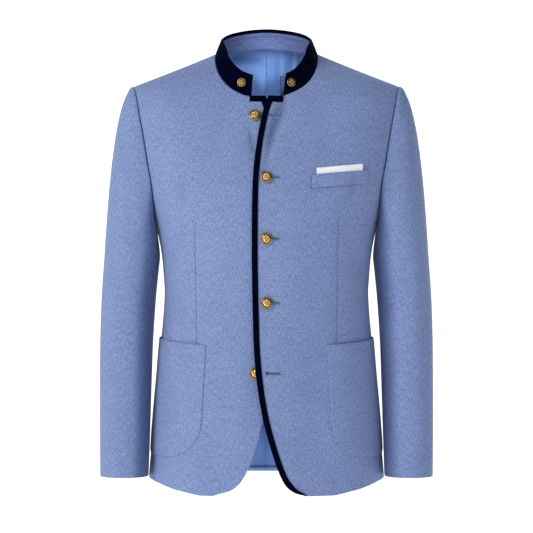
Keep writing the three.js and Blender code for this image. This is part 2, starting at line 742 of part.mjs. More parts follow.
function sleevePiece(fromStep, toStep) {
  const turns = [];
  for (let k = fromStep; k <= toStep; k++) turns.push((k * Math.PI) / ARM_STEPS);
  const alongs = [...CAP_ROWS, ...range(SLEEVE_ROWS).slice(1).map((t) => 1 + t)];
  const whole = alongs.map((along) => turns.map((turn) => sleevePoint(turn, along)));
  const outer = seamInset(whole, { left: HALF_GAP, right: HALF_GAP });
  const inner = outer.map((row, i) =>
    row.map((p, j) => p.clone().addScaledVector(sleeveNormal(turns[j], alongs[i]), -SLEEVE_CLOTH)),
  );
  return wall(outer, inner);
}

for (const [hand, side] of HANDS) {
  add("top_sleeve_" + hand, sleevePiece(-HIND_SEAM, FORE_SEAM), "wool", side);
  add("under_sleeve_" + hand, sleevePiece(FORE_SEAM, 2 * ARM_STEPS - HIND_SEAM), "wool", side);
}

// Collar. Its stations are the neckline's points, from the wearer's right end to the left one.
const collarLine = (() => {
  const left = [...neckBack].reverse().concat(neckFront.slice(1)).map(placePoint);
  const right = left.slice(1).reverse().map((p) => new THREE.Vector3(-p.x, p.y, p.z));
  return [...right, ...left];
})();
const COLLAR_LAST = collarLine.length - 1;

function collarAlong(k) {
  const next = collarLine[Math.min(k + 1, COLLAR_LAST)];
  return next.clone().sub(collarLine[Math.max(k - 1, 0)]).normalize();
}

// Where the band stands at a station: its foot, and the directions along, up and out of it.
function collarFrame(at) {
  const i = Math.min(Math.floor(at), COLLAR_LAST - 1);
  const base = collarLine[i].clone().lerp(collarLine[i + 1], at - i);
  const along = collarAlong(i).lerp(collarAlong(i + 1), at - i).normalize();
  const outward = new THREE.Vector3(along.y, -along.x, 0).normalize();
  if (outward.dot(new THREE.Vector3(base.x, base.y, 0)) < 0) outward.negate();
  const { front, side, back } = COLLAR_LEAN;
  const lean = lerp(outward.y < 0 ? front : back, side, 1 - outward.y ** 2);
  const up = new THREE.Vector3(0, 0, Math.cos(lean)).addScaledVector(outward, -Math.sin(lean));
  const out = new THREE.Vector3(0, 0, Math.sin(lean)).addScaledVector(outward, Math.cos(lean));
  return { base, along, up, out };
}

// A collar point: station, depth inwards from the outer face, height up the band, and distance back.
function collarPoint(at, depth, height, back = 0) {
  const { base, along, up, out } = collarFrame(at);
  base.addScaledVector(up, SEAM_GAP + height).addScaledVector(out, -depth);
  return base.addScaledVector(along, -back);
}

const collarStretch = (y) => columnAt(COLLAR_HEIGHTS, "y", y, "height") / COLLAR_HEIGHT;

function collarBand(section, { runs, cut }) {
  const stations = collarLine.map((base, k) => {
    const hangs = smoothstep(base.y, COLLAR_HANG.from, COLLAR_HANG.to);
    return section.map(([depth, height]) => {
      const up = height < 0 ? lerp(2 * COLLAR_FOOT, height, hangs) : height * collarStretch(base.y);
      const share = up / COLLAR_HEIGHT;
      const right = RIGHT_END.runs + RIGHT_END.leans * share;
      if (k === 0) return collarPoint(k, depth, Math.max(up, RIGHT_END.clears), right);
      if (k < COLLAR_LAST) return collarPoint(k, depth, up);
      const isFold = height > COLLAR_HEIGHT / 2 && height < COLLAR_HEIGHT;
      const raised = isFold ? up + LEFT_END.foldLowers : Math.max(up, LEFT_END.clears);
      return collarPoint(k, depth, raised, cut * share - runs);
    });
  });
  return carried(stations, section.map(([depth, height]) => new THREE.Vector2(depth, height)));
}

const innerStarts = COLLAR_OUTER_CLOTH + COLLAR_LAYER_GAP;
const collarThick = innerStarts + COLLAR_INNER_CLOTH;
const foldEnd = COLLAR_HEIGHT - COLLAR_FOLD;
const outerSection = [
  [0, 0],
  [-COLLAR_ROUND, COLLAR_HEIGHT / 2],
  [0, COLLAR_HEIGHT],
  [collarThick, COLLAR_HEIGHT],
  [collarThick, foldEnd],
  [COLLAR_OUTER_CLOTH, foldEnd],
  [COLLAR_OUTER_CLOTH, COLLAR_FOOT],
];
const innerSection = [
  [innerStarts, foldEnd - COLLAR_LAYER_GAP],
  [innerStarts, -COLLAR_HANGS],
  [collarThick, -COLLAR_HANGS],
  [collarThick, foldEnd - COLLAR_LAYER_GAP],
];
add("collar_outer", collarBand(outerSection, OUTER_END), "velvet");
add("collar_inner", collarBand(innerSection, INNER_END), "collarWool");

// Binding: a folded strip on the edge of a front, along the neck edge and down the opening. Its
// corners are the front's own, so that both turn together.
function binding(table, lift, endZ) {
  const edge = [neckFront[NECK_STEPS], ...edgePlaces(table)].map(placePoint);
  const path = edge.filter((p) => p.z > endZ).map((p) => new THREE.Vector2(p.x, p.z));
  path[0].x -= SEAM_GAP;
  const cornerAt = 2;
  const inwards = path.map((p, i) => {
    if (i < cornerAt) return new THREE.Vector2(0, -1);
    const along = path[Math.min(path.length - 1, i + 1)].clone().sub(path[i === cornerAt ? i : i - 1]);
    const square = new THREE.Vector2(-along.y, along.x).normalize();
    if (i > cornerAt) return square;
    return new THREE.Vector2(square.x, square.y - 1).divideScalar(1 - square.y);
  });
  const section = (width) => [
    [width, LAID_GAP + BINDING_CLOTH],
    [-BINDING_CLEAR - BINDING_CLOTH, LAID_GAP + BINDING_CLOTH],
    [-BINDING_CLEAR - BINDING_CLOTH, -BODY_CLOTH],
    [-BINDING_CLEAR, -BODY_CLOTH],
    [-BINDING_CLEAR, LAID_GAP],
    [width, LAID_GAP],
  ];
  const stations = path.map((p, i) => {
    const toEnd = path.length - 1 - i;
    const share = endZ < FRONT_HEM[0].z ? Math.min(1, TAPER.end + TAPER.each * toEnd) : 1;
    return section(BINDING_WIDTH * share).map(([inward, off]) =>
      onPanel(frontPlace(p.x + inwards[i].x * inward, p.y + inwards[i].y * inward), lift, off),
    );
  });
  return carried(stations, section(BINDING_WIDTH).map(([a, b]) => new THREE.Vector2(a, b)));
}
add("binding_left", binding(OVERLAP_EDGE, overlapLift, FRONT_HEM[0].z - 1), "velvet");
add("binding_right", binding(UNDERLAP_EDGE, noLift, UNDERLAP_BINDING_END), "velvet", -1);

// Patch pockets: flat pieces with round lower corners, bent round the front and the side.
function roundWalk(x, z, distance) {
  const level = (angle) => levelAtHeight(angle, z);
  const start = frontPlace(x, z)[0];
  const dense = range(DENSE).map((t) => {
    const angle = start + t * WALK_TURN;
    return [angle, level(angle)];
  });
  let walked = 0;
  for (let i = 1; i < dense.length; i++) {
    const stepLength = placePoint(dense[i]).distanceTo(placePoint(dense[i - 1]));
    if (walked + stepLength >= distance) {
      const t = (distance - walked) / stepLength;
      return dense[i].map((value, c) => lerp(dense[i - 1][c], value, t));
    }
    walked += stepLength;
  }
  return dense[dense.length - 1];
}

function patchPocket(lift) {
  const straight = range(PATCH.steps).map((t) => ({ down: t * (PATCH.height - PATCH.corner), pull: 0 }));
  const curved = range(PATCH.steps)
    .slice(1)
    .map((t) => ({
      down: PATCH.height - PATCH.corner * (1 - Math.sin((t * Math.PI) / 2)),
      pull: PATCH.corner * (1 - Math.cos((t * Math.PI) / 2)),
    }));
  const rows = [...straight, ...curved].map(({ down, pull }) =>
    range(PATCH.columns).map((u) => {
      const across = lerp(pull, PATCH.width - pull, u);
      const rise = PATCH_AT.topRise * (across / PATCH.width) * (1 - down / PATCH.height);
      return roundWalk(PATCH_AT.inner + PATCH_AT.innerSlant * down, PATCH_AT.top - down + rise, across);
    }),
  );
  return panel(rows, lift, PATCH.cloth, PATCH.gap + PATCH.cloth, {});
}
add("patch_pocket_left", patchPocket(overlapLift), "wool");
add("patch_pocket_right", patchPocket(noLift), "wool", -1);

// Chest pocket on the wearer's left: a slanted welt, and a folded cloth that stands up behind it.
function weltPlace(across, up) {
  const x = WELT_AT.left + across * WELT_AT.narrows;
  return frontPlace(x, WELT_AT.bottom + WELT_AT.rise * across + up);
}

// A flat piece between two places [across, up] of the welt, standing off the chest by outAt.
function flatOnChest([columns, rows], [fromAcross, fromUp], [toAcross, toUp], outAt, cloth) {
  const places = range(rows).map((v) =>
    range(columns).map((u) => weltPlace(lerp(fromAcross, toAcross, u), lerp(toUp, fromUp, v))),
  );
  const offs = range(rows).map((v) => outAt(1 - v));
  const faceAt = (depth) =>
    places.map((row, i) => row.map((place) => onPanel(place, overlapLift, offs[i] + depth)));
  return wall(faceAt(cloth), faceAt(0));
}
const weltOut = (up) => LAID_GAP + WELT.standOff * Math.min(1, 2 * up);
const welt = flatOnChest([8, 4], [0, 0], [WELT.width, WELT.height], weltOut, WELT.cloth);
add("chest_welt", welt, "wool");
const squareFrom = [SQUARE.inset, WELT.height - SQUARE.tuck];
const squareTo = [SQUARE.inset + SQUARE.width, WELT.height + SQUARE.show];
const square = flatOnChest([7, 2], squareFrom, squareTo, () => LAID_GAP, SQUARE.cloth);
add("pocket_square", square, "linen");

// Buttons: shank, back plate, rim and a dome with a shallow ring round it.
function buttonGeometry({ radius, dome, shank }, below) {
  const profile = [
    [0, -below],
    [shank, -below],
    [shank, 0],
    [radius * 0.86, 0],
    [radius, 0.9],
    [radius, 1.7],
    [radius * 0.88, dome * 0.62],
    [radius * 0.8, dome * 0.6],
    [radius * 0.45, dome * 0.93],
    [0, dome],
  ];
  const lathe = new THREE.LatheGeometry(profile.map(([x, y]) => new THREE.Vector2(x, y)), 16);
  lathe.rotateX(Math.PI / 2);
  lathe.deleteAttribute("normal");
  lathe.deleteAttribute("uv");
  return mergeVertices(lathe, 1e-3);
}

const SHANK_SHOWS = 1.8; // between the cloth and the back of a button
const COLLAR_SHANK_SHOWS = 1.26;
const SHANK_CLEAR = 0.35; // between the shank's end and the cloth that carries it

// The shortest way down from the back of a button to its carrier, over the round end of its shank
function wayDown(axes, rise, radius, carrier) {
  const down = new THREE.Vector3().setFromMatrixColumn(axes, 2).negate();
  const ways = [];
  for (let turn = 0; turn < 2 * Math.PI; turn += Math.PI / 4) {
    const start = new THREE.Vector3(radius * Math.cos(turn), radius * Math.sin(turn), rise);
    const [hit] = new THREE.Raycaster(start.applyMatrix4(axes), down).intersectObject(carrier);
    if (hit) ways.push(hit.distance);
  }
  return Math.min(...ways);
}

function placeButton(name, shape, axes, rise, carrierName) {
  const carrier = garment.getObjectByName(carrierName);
  const way = wayDown(axes, rise, shape.shank, carrier);
  const mesh = add(name, buttonGeometry(shape, way - SHANK_CLEAR), "brass");
  mesh.applyMatrix4(axes.multiply(new THREE.Matrix4().makeTranslation(0, 0, rise)));
}

for (const { name, out, z, fastened } of BUTTONS) {
  const rise = SHANK_SHOWS + (fastened ? overlapLift(out, z) : 0);
  placeButton(name, FRONT_BUTTON, frontAxes(out, z, noLift), rise, "front_right");
}

function collarButtonAxes(side) {
  const station = solve(0, NECK_STEPS, (at) => -collarFrame(at).base.x < COLLAR_BUTTON_AT.out);
  const { base, up, out } = collarFrame(station);
  const height = COLLAR_BUTTON_AT.up * COLLAR_HEIGHT * collarStretch(base.y);
  const middle = collarPoint(station, -COLLAR_ROUND, height);
  for (const v of [up, out, middle]) v.x *= -side;
  return new THREE.Matrix4().makeBasis(up.clone().cross(out), up, out).setPosition(middle);
}
for (const [hand, side] of HANDS) {
  const axes = collarButtonAxes(side);
  placeButton("collar_button_" + hand, COLLAR_BUTTON, axes, COLLAR_SHANK_SHOWS, "collar_outer");
}

export default garment;
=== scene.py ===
# %% [markdown]
# # Dressing a short blazer with a standing collar
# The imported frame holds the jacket's solids: each piece of cloth as a coarse hollow wall. This lesson
# replaces each of them by a fine cloth shell on the same form, with rolled seams, soft creases, stitching
# and woven materials. Lengths are in millimetres until a mesh is made, when they become metres.
# +Z is up, the front faces -Y, and the wearer's left is +X.

# %% The frame
import json
import math
import bpy
import numpy as np
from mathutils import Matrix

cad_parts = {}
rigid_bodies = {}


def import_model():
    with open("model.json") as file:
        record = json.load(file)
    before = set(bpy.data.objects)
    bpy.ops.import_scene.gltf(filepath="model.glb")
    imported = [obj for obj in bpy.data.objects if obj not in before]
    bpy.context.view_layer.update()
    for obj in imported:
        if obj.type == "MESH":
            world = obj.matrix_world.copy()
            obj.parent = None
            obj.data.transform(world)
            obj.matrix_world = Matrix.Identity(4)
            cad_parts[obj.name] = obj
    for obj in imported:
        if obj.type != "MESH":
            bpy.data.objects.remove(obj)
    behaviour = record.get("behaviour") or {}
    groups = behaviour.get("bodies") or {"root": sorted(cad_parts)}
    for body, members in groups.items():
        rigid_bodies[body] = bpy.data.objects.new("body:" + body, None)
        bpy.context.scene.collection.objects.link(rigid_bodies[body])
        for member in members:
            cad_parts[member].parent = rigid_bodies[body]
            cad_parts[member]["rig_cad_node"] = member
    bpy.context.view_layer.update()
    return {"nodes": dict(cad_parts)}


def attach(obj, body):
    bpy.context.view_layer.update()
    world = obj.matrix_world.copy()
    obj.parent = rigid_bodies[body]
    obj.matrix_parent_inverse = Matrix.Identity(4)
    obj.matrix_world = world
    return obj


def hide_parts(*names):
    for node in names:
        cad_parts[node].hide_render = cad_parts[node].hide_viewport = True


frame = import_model()
MM = 0.001
print("nodes:", len(frame["nodes"]))

# %% [markdown]
# ## The camera, the light and the paper
# The jacket was photographed straight from the front, from far away, on white. A long lens at the height
# of its middle gives the same view. The ground is a sheet of white paper that curves up behind, and the
# key light stands at the viewer's left, so the other side falls slowly into shade.

# %% Camera
CAMERA_AWAY = 4.0  # metres in front of the origin
CAMERA_HEIGHT = -0.351
CAMERA_LENS = 162  # on the usual 36 mm sensor, this frames 0.89 m

camera = bpy.data.objects.new("camera", bpy.data.cameras.new("camera"))
bpy.context.collection.objects.link(camera)
camera.location = (0, -CAMERA_AWAY, CAMERA_HEIGHT)
camera.rotation_euler = (math.radians(90), 0, 0)
camera.data.lens = CAMERA_LENS
bpy.context.scene.camera = camera

# %% Lights


def softbox(name, place, target, width, height, power, colour=(1, 1, 1)):
    """An area light at a place, turned so that its face looks at the target."""
    light = bpy.data.lights.new(name, "AREA")
    light.shape = "RECTANGLE"
    light.size, light.size_y = width, height
    light.energy = power
    light.color = colour
    lamp = bpy.data.objects.new(name, light)
    bpy.context.collection.objects.link(lamp)
    from_target = np.array(place) - np.array(target)
    flat = math.hypot(from_target[0], from_target[1])
    lamp.location = place
    lamp.rotation_euler = (math.atan2(flat, from_target[2]), 0, math.atan2(from_target[0], -from_target[1]))
    return lamp


MIDDLE = (0, 0, -0.36)
softbox("key", (-2.7, -2.3, 1.1), MIDDLE, 1.4, 1.8, 64)
softbox("fill", (1.2, -3.2, 0.6), MIDDLE, 1.6, 1.8, 7, (0.7, 0.88, 1))
softbox("top", (0.3, -0.9, 2.2), MIDDLE, 1.8, 1.2, 12, (0.8, 0.92, 1))
softbox("rear", (0.6, 2.6, 1.2), MIDDLE, 2.0, 1.2, 22)


def spotlight(name, place, target, angle, power, radius):
    """A narrow lamp at a place, aimed at the target."""
    light = bpy.data.lights.new(name, "SPOT")
    light.energy, light.spot_size, light.spot_blend = power, math.radians(angle), 1.0
    light.shadow_soft_size = radius
    lamp = bpy.data.objects.new(name, light)
    bpy.context.collection.objects.link(lamp)
    way = np.array(target) - np.array(place)
    lamp.location = place
    lamp.rotation_euler = (math.atan2(math.hypot(way[0], way[1]), -way[2]), 0, math.atan2(-way[0], way[1]))
    return lamp


# The inside of the neck has two lamps of its own: one passes over the front of the collar, and a small
# one hangs inside the coat, below the neck, and shines up at the lining
spotlight("neck", (-0.08, -0.9, 0.3), (0, 0.07, 0.0), 7.0, 46, 0.04)
softbox("inside", (0, -0.02, -0.15), (0, 0.075, 0.0), 0.1, 0.06, 0.04)

world = bpy.data.worlds.new("studio")
world.use_nodes = True
bpy.context.scene.world = world
WORLD_LIGHT = 0.15  # what the white room gives to the cloth
WORLD_SEEN = 1.05  # what the camera sees behind it
sky = world.node_tree.nodes["Background"]
sky.inputs["Color"].default_value = (1, 1, 1, 1)
path_node = world.node_tree.nodes.new("ShaderNodeLightPath")
blend_node = world.node_tree.nodes.new("ShaderNodeMapRange")
blend_node.inputs["To Min"].default_value = WORLD_LIGHT
blend_node.inputs["To Max"].default_value = WORLD_SEEN
world.node_tree.links.new(path_node.outputs["Is Camera Ray"], blend_node.inputs["Value"])
world.node_tree.links.new(blend_node.outputs["Result"], sky.inputs["Strength"])
bpy.context.scene.view_settings.view_transform = "Standard"

# %% [markdown]
# ## The cut
# These are the garment's own sizes, the same as its solids have: the body's sections, the armhole, the
# front edges, the sleeve and the collar. All the fine surfaces below are worked out from them.

# %% Sizes of the cloth, shoulders and neck
BODY_CLOTH = 2.2
SLEEVE_CLOTH = 2.0
LINING_CLOTH = 1.0
NECK_HALF = 86
NECK_DROP = 73
NECK_BACK = 68
NECK_ROUND = 0.93
SHOULDER_SLOPE = 0.392
SHOULDER_EASE = 10
FLAT_CHEST_DROP = 300
BODY_SQUARENESS = 2.6
FRONT_TILT = 0.6
BACK_TILT = 0.59

# %% Tables of sections and edges, a row each
# Columns: drop below the shoulder ridge, half width, depth in front and behind the shoulder seam
SECTIONS = np.array([
    (0, 234, 0, 0),
    (4, 234, 29.4, 30),
    (12, 233, 50, 52),
    (28, 231, 73, 75),
    (50, 229, 90, 92),
    (85, 225, 103, 104),
    (130, 219, 115, 112),
    (180, 212, 124, 115),
    (230, 200.5, 129, 114),
    (275, 186, 130, 110),
    (320, 176.5, 128, 104),
    (365, 172, 125, 98),
    (400, 170, 123, 96),
    (450, 173, 124, 99),
    (510, 179, 128, 107),
    (570, 185, 132, 114),
    (640, 191, 135, 120),
    (700, 196, 137, 123),
    (735, 198.5, 138, 124),
])
# Columns: drop, angle from the side line to the armhole's front and back edge
ARMHOLE = np.array([
    (0, 0.395, 0.395),
    (20, 0.42, 0.41),
    (60, 0.45, 0.44),
    (110, 0.47, 0.46),
    (160, 0.48, 0.47),
    (200, 0.475, 0.465),
    (232, 0.42, 0.42),
    (256, 0.31, 0.32),
    (270, 0.17, 0.18),
    (275, 0, 0),
])
# Columns: distance from the centre towards the piece's own side, height
OVERLAP_EDGE = np.array([
    (4.2, -75.6), (-4.4, -99), (-14.6, -152), (-21, -215), (-22.4, -320), (-21, -420),
    (-17.5, -505), (-7.6, -582), (8.4, -646), (25.8, -694), (42, -713), (65, -721.5),
])
UNDERLAP_EDGE = np.array([
    (2.2, -73), (-5.5, -99), (-15, -152), (-20, -215), (-22, -320), (-20, -420),
    (-14, -500), (-2, -562), (13, -630), (31, -681), (52, -709), (84, -720.5),
])
FRONT_HEM = np.array([(40, -721.5), (110, -721.5), (154, -713), (184, -704), (200, -700), (216, -696)])
BACK_HEM_Z = -702
# Columns: height, inner and outer edge seen from the front, depth of the centre line, half the depth
SLEEVE = np.array([
    (-340, 178, 270.5, 2, 66),
    (-400, 184, 274, 0, 62),
    (-470, 188.5, 276, -6, 58),
    (-540, 190.7, 276.5, -15, 54.5),
    (-620, 192.6, 275.8, -27, 51.5),
    (-696, 194.6, 274.4, -40, 49.5),
])
SLEEVE_SQUARENESS = 2.2
CAP_REACH = 0.36

# %% How the left front stands off the right one
OVERLAP_LIFT = 4.9
FREE_LIFT = 6.6
LIFT_ENDS = (30, 100)
FREE_ENDS = (-8, 70)
FREE_STARTS = (425, 505)

# %% [markdown]
# ## Smooth rows between the sections
# A tailor's pattern has a few measured stations, and the cloth runs smoothly through them. A Catmull-Rom
# spline does the same: it passes through each row and needs no handles. Two phantom rows past each end
# say how the curve leaves the table.

# %% Rows of a table


def continued(end, nearest):
    """The row past a table's end, on the straight line through its last two rows."""
    return 2 * end - nearest


def padded_table(table, before=None, after=None):
    """A table with two phantom rows at each end: straight on, unless the rows are given."""
    straight_before = continued(table[0], table[1])
    straight_after = continued(table[-1], table[-2])
    top = [straight_before, straight_before] if before is None else before
    end = [straight_after, straight_after] if after is None else after
    return np.vstack([top, table, end])


def row_at(padded, at):
    """Rows of a padded table at fractional places, by the Catmull-Rom formula
    b + t/2 (c - a + t (2a - 5b + 4c - d + t (3(b - c) + d - a)))."""
    last = len(padded) - 5
    i = np.clip(np.floor(at).astype(int) + 2, 1, last + 1)
    t = (at + 2 - i)[..., None]
    a, b, c, d = padded[i - 1], padded[i], padded[i + 1], padded[i + 2]
    return b + 0.5 * t * (c - a + t * (2 * a - 5 * b + 4 * c - d + t * (3 * (b - c) + d - a)))


def smoothstep(x, start, end):
    """0 before start, 1 after end, and 3t² - 2t³ between them."""
    t = np.clip((x - start) / (end - start), 0, 1)
    return t * t * (3 - 2 * t)


def lerp(a, b, t):
    return a + (b - a) * t


def solve(low, high, is_below):
    """Halves the interval between low and high until each entry sits where is_below turns false."""
    for _ in range(40):
        middle = (low + high) / 2
        below = is_below(middle)
        low = np.where(below, middle, low)
        high = np.where(below, high, middle)
    return (low + high) / 2


# %% [markdown]
# ## The body as a function of two parameters
# Each section is a super-ellipse, rounder than a box and boxier than an ellipse. An angle of 0 is the centre
# front, a quarter turn the side, a half turn the centre back. A level counts the table's rows
# downwards. The shoulder's slope and the tilt round the neck fade out by the chest.

# %% The body's surface
EVEN = np.array([1, 1, -1, -1])  # a mirrored section has its depths turned round
BODY_ROWS = padded_table(SECTIONS, before=[SECTIONS[2] * EVEN, SECTIONS[1] * EVEN])
BOTTOM = len(SECTIONS) - 1


def shoulder_fall(x):
    """How far the shoulder has fallen at x: a hyperbola that starts softly beside the neck."""
    def soft(value):
        past = np.abs(value) - NECK_HALF + 2
        return (past + np.hypot(past, SHOULDER_EASE)) / 2
    return SHOULDER_SLOPE * (soft(x) - soft(NECK_HALF))


def body_point(angle, level):
    """x = half |sin|^(2/n), y = front or back times -cos, z = -drop - shoulder fall + neck tilt times y."""
    drop, half, front, back = np.moveaxis(row_at(BODY_ROWS, level), -1, 0)
    sine, cosine = np.sin(angle), np.cos(angle)
    x = np.sign(sine) * half * np.abs(sine) ** (2 / BODY_SQUARENESS)
    y = -cosine * np.where(cosine > 0, front, back)
    flat = np.maximum(0, 1 - drop / FLAT_CHEST_DROP) ** 1.5
    behind = BACK_TILT * np.exp(-((x / 108) ** 2))
    before = FRONT_TILT * np.exp(-((np.maximum(0, np.abs(x) - 60) / 95) ** 2))
    tilt = np.where(y > 0, behind, before) * (1 - smoothstep(drop, 40, 260))
    return np.stack([x, y, -drop - shoulder_fall(x) * flat + tilt * y], -1)


def unit(vectors):
    return vectors / np.maximum(np.linalg.norm(vectors, axis=-1, keepdims=True), 1e-12)


def body_normal(angle, level):
    """The step down crossed with the step round, both as small central differences."""
    h = 1e-3
    around = body_point(angle + h, level) - body_point(angle - h, level)
    down = body_point(angle, level + h) - body_point(angle, level - h)
    return unit(np.cross(down, around))


def angle_of(x, level):
    half = row_at(BODY_ROWS, level)[..., 1]
    share = np.minimum(1, np.abs(x) / half)
    return np.sign(x) * np.arcsin(share ** (BODY_SQUARENESS / 2))


def front_place(x, z):
    """The front's (angle, level) at a distance from the centre and a height."""
    x, z = np.broadcast_arrays(np.asarray(x, float), np.asarray(z, float))
    level = solve(np.zeros(x.shape), np.full(x.shape, float(BOTTOM)),
                  lambda l: body_point(angle_of(x, l), l)[..., 2] > z)
    return np.stack([angle_of(x, level), level], -1)


def back_place(x, y):
    """The upper back's (angle, level) at a distance from the centre and behind the shoulder."""
    x, y = np.broadcast_arrays(np.asarray(x, float), np.asarray(y, float))
    level = solve(np.zeros(x.shape), np.full(x.shape, 6.0),
                  lambda l: row_at(BODY_ROWS, l)[..., 3] * np.cos(angle_of(x, l)) < y)
    return np.stack([np.pi - angle_of(x, level), level], -1)


def level_at_height(angle, z):
    angle, z = np.broadcast_arrays(np.asarray(angle, float), np.asarray(z, float))
    return solve(np.full(angle.shape, 3.0), np.full(angle.shape, float(BOTTOM)),
                 lambda l: body_point(angle, l)[..., 2] > z)


def place_point(places):
    return body_point(places[..., 0], places[..., 1])


def overlap_lift(x, z):
    """How far the left front stands off the body: one cloth over another, more where it hangs free."""
    fade = 1 - smoothstep(x, *LIFT_ENDS)
    free = smoothstep(-z, *FREE_STARTS)
    near = 1 - smoothstep(x, *FREE_ENDS)
    return OVERLAP_LIFT * fade + FREE_LIFT * free * near


def no_lift(x, z):
    return np.zeros(np.shape(x))


print("chest half width at 180 mm down:", float(body_point(np.array(np.pi / 2), np.array(7.0))[0]))

# %% [markdown]
# ## Seam lines
# Two pieces that are sewn together share one line. Each line is a dense list of places on the body,
# and a walk along it by length gives both pieces the same points, so that no seam gapes.

# %% Walking along a line by its length


def lengths_along(points):
    """The way along a line to each of its points, from 0 at the first."""
    return np.concatenate([[0], np.cumsum(np.linalg.norm(np.diff(points, axis=0), axis=1))])


def at_lengths(goal, length, line):
    """A line's columns at the goal lengths, straight between its points."""
    return np.stack([np.interp(goal, length, line[:, c]) for c in range(line.shape[1])], -1)


def walk(line, shares, measure=place_point):
    """Places at shares of a line's length."""
    length = lengths_along(measure(line))
    return at_lengths(np.asarray(shares) * length[-1], length, line)


FINE = 6  # fine steps for each step of the solids' walls
NECK_STEPS = 7
ARM_STEPS = 12
FRONT_ARM_STEPS = 11
BACK_ARM_STEPS = 9
SIDE_STEPS = 16
BINDING_LAP = 28
DENSE = np.linspace(0, 1, 400)

# %% Neck and armhole
neck_turn = np.arccos((BINDING_LAP / NECK_HALF) ** (1 / NECK_ROUND))  # to the collar's end
neck_fall = (np.sin(DENSE * neck_turn) / np.sin(neck_turn)) ** NECK_ROUND
NECK_FRONT = front_place(NECK_HALF * np.cos(DENSE * neck_turn) ** NECK_ROUND, -NECK_DROP * neck_fall)
NECK_FRONT[0] = (float(angle_of(np.array(NECK_HALF), np.array(0.0))), 0)
turn = DENSE * np.pi / 2
NECK_BEHIND = back_place(NECK_HALF * np.cos(turn) ** 0.95, NECK_BACK * np.sin(turn))
NECK_BEHIND[0] = (np.pi - NECK_FRONT[0][0], 0)


def armhole_half(way):
    """The armhole from the shoulder to its lowest point: way is -1 in front and 1 behind."""
    turned = np.array([1, -1, -1])
    table = padded_table(ARMHOLE, after=[ARMHOLE[-2] * turned, ARMHOLE[-3] * turned])
    rows = row_at(table, DENSE * (len(ARMHOLE) - 1))
    drop, reach = rows[:, 0], rows[:, 1 if way < 0 else 2]
    level = solve(np.zeros(len(drop)), np.full(len(drop), float(BOTTOM)),
                  lambda l: row_at(BODY_ROWS, l)[..., 0] < drop)
    return walk(np.stack([np.pi / 2 + way * reach, level], -1), DENSE)


ARM_FRONT = armhole_half(-1)
ARM_BEHIND = armhole_half(1)

# %% Side seams, hem and centre back
SIDE_ANGLE = 1.47
HIND_ANGLE = 2.06


def front_hem(angle):
    x = body_point(angle, np.full(np.shape(angle), BOTTOM - 1.0))[..., 0]
    return np.interp(x, FRONT_HEM[:, 0], FRONT_HEM[:, 1])


def hem_behind(angle):
    side = front_hem(np.full(np.shape(angle), SIDE_ANGLE))
    return lerp(side, BACK_HEM_Z, smoothstep(angle, SIDE_ANGLE, HIND_ANGLE))


def back_hem(angle):
    return np.full(np.shape(angle), float(BACK_HEM_Z))


def side_seam(start, end_angle, hem_of):
    """From the armhole down to the hem, drifting to another angle by the waist."""
    t = np.linspace(0, 1, 240)
    angle = lerp(start[0], end_angle, smoothstep(t, 0, 0.35))
    level = level_at_height(angle, lerp(place_point(start)[2], hem_of(angle), t))
    line = np.stack([angle, level], -1)
    line[0] = start
    return line


FORE_SEAM_LINE = side_seam(walk(ARM_FRONT, [FRONT_ARM_STEPS / ARM_STEPS])[0], SIDE_ANGLE, front_hem)
HIND_SEAM_LINE = side_seam(walk(ARM_BEHIND, [BACK_ARM_STEPS / ARM_STEPS])[0], HIND_ANGLE, hem_behind)
nape = NECK_BEHIND[-1]
back_foot = float(level_at_height(np.pi, BACK_HEM_Z))
CENTRE_BACK = np.stack([np.full(240, np.pi), np.linspace(nape[1], back_foot, 240)], -1)

# %% The front edges


def front_edge(table):
    """The mid point of the neck edge, then the opening and the cutaway down to the hem."""
    rows = row_at(padded_table(table), DENSE * (len(table) - 1))
    line = front_place(rows[:, 0], rows[:, 1])

    def stretched(places):
        """Lengths grow round the cutaway, so that its steps come closer together."""
        points = place_point(places)
        curve = smoothstep(-points[:, 2], 600, 700)
        return np.stack([points[:, 0] * (1 + 2 * curve), points[:, 1], points[:, 2] * (1 + 0.3 * curve)], -1)

    steps = FRONT_ARM_STEPS + SIDE_STEPS - NECK_STEPS - 2
    down = walk(line, np.linspace(0, 1, steps * FINE + 1), stretched)
    corner = table[0]
    out = np.linspace(BINDING_LAP, corner[0], 2 * FINE + 1)
    along_neck = front_place(out, np.full(len(out), corner[1]))
    return np.concatenate([along_neck[1:-1], down])


# %% [markdown]
# ## A panel of cloth
# A panel's rows run from its left seam to its right one. Each row is walked evenly, with a few extra
# steps close to both seams, where the cloth rolls down into the stitching. The lowest rows bend to
# meet the hem's curve.

# %% Rows and rims of a panel
RIM_STEPS = np.array([0, 0.45, 1.1, 2.0, 3.2])  # distances from the rim that the rolled edge needs


def panel_places(left, right, columns, hem_of):
    """Straight rows in (angle, level) between two lines, bent near the foot by the hem, and walked evenly."""
    share = np.linspace(0, 1, len(left)) ** 4
    u = np.linspace(0, 1, 80)
    angle = lerp(left[:, None, 0], right[:, None, 0], u)
    level = lerp(left[:, None, 1], right[:, None, 1], u)
    foot_angle = lerp(left[-1, 0], right[-1, 0], u)
    bend = level_at_height(foot_angle, hem_of(foot_angle)) - lerp(left[-1, 1], right[-1, 1], u)
    bend[[0, -1]] = 0
    rows = np.stack([angle, level + share[:, None] * bend], -1)
    return np.stack([walk_row(row, columns) for row in rows])


def walk_row(row, columns):
    """A row at fixed small distances from its two ends and at even ones between them."""
    length = lengths_along(place_point(row))
    total = length[-1]
    rim = RIM_STEPS * min(1, total / (4 * RIM_STEPS[-1]))
    goal = np.concatenate([rim, np.linspace(rim[-1], total - rim[-1], columns)[1:-1], total - rim[::-1]])
    return at_lengths(goal, length, row)


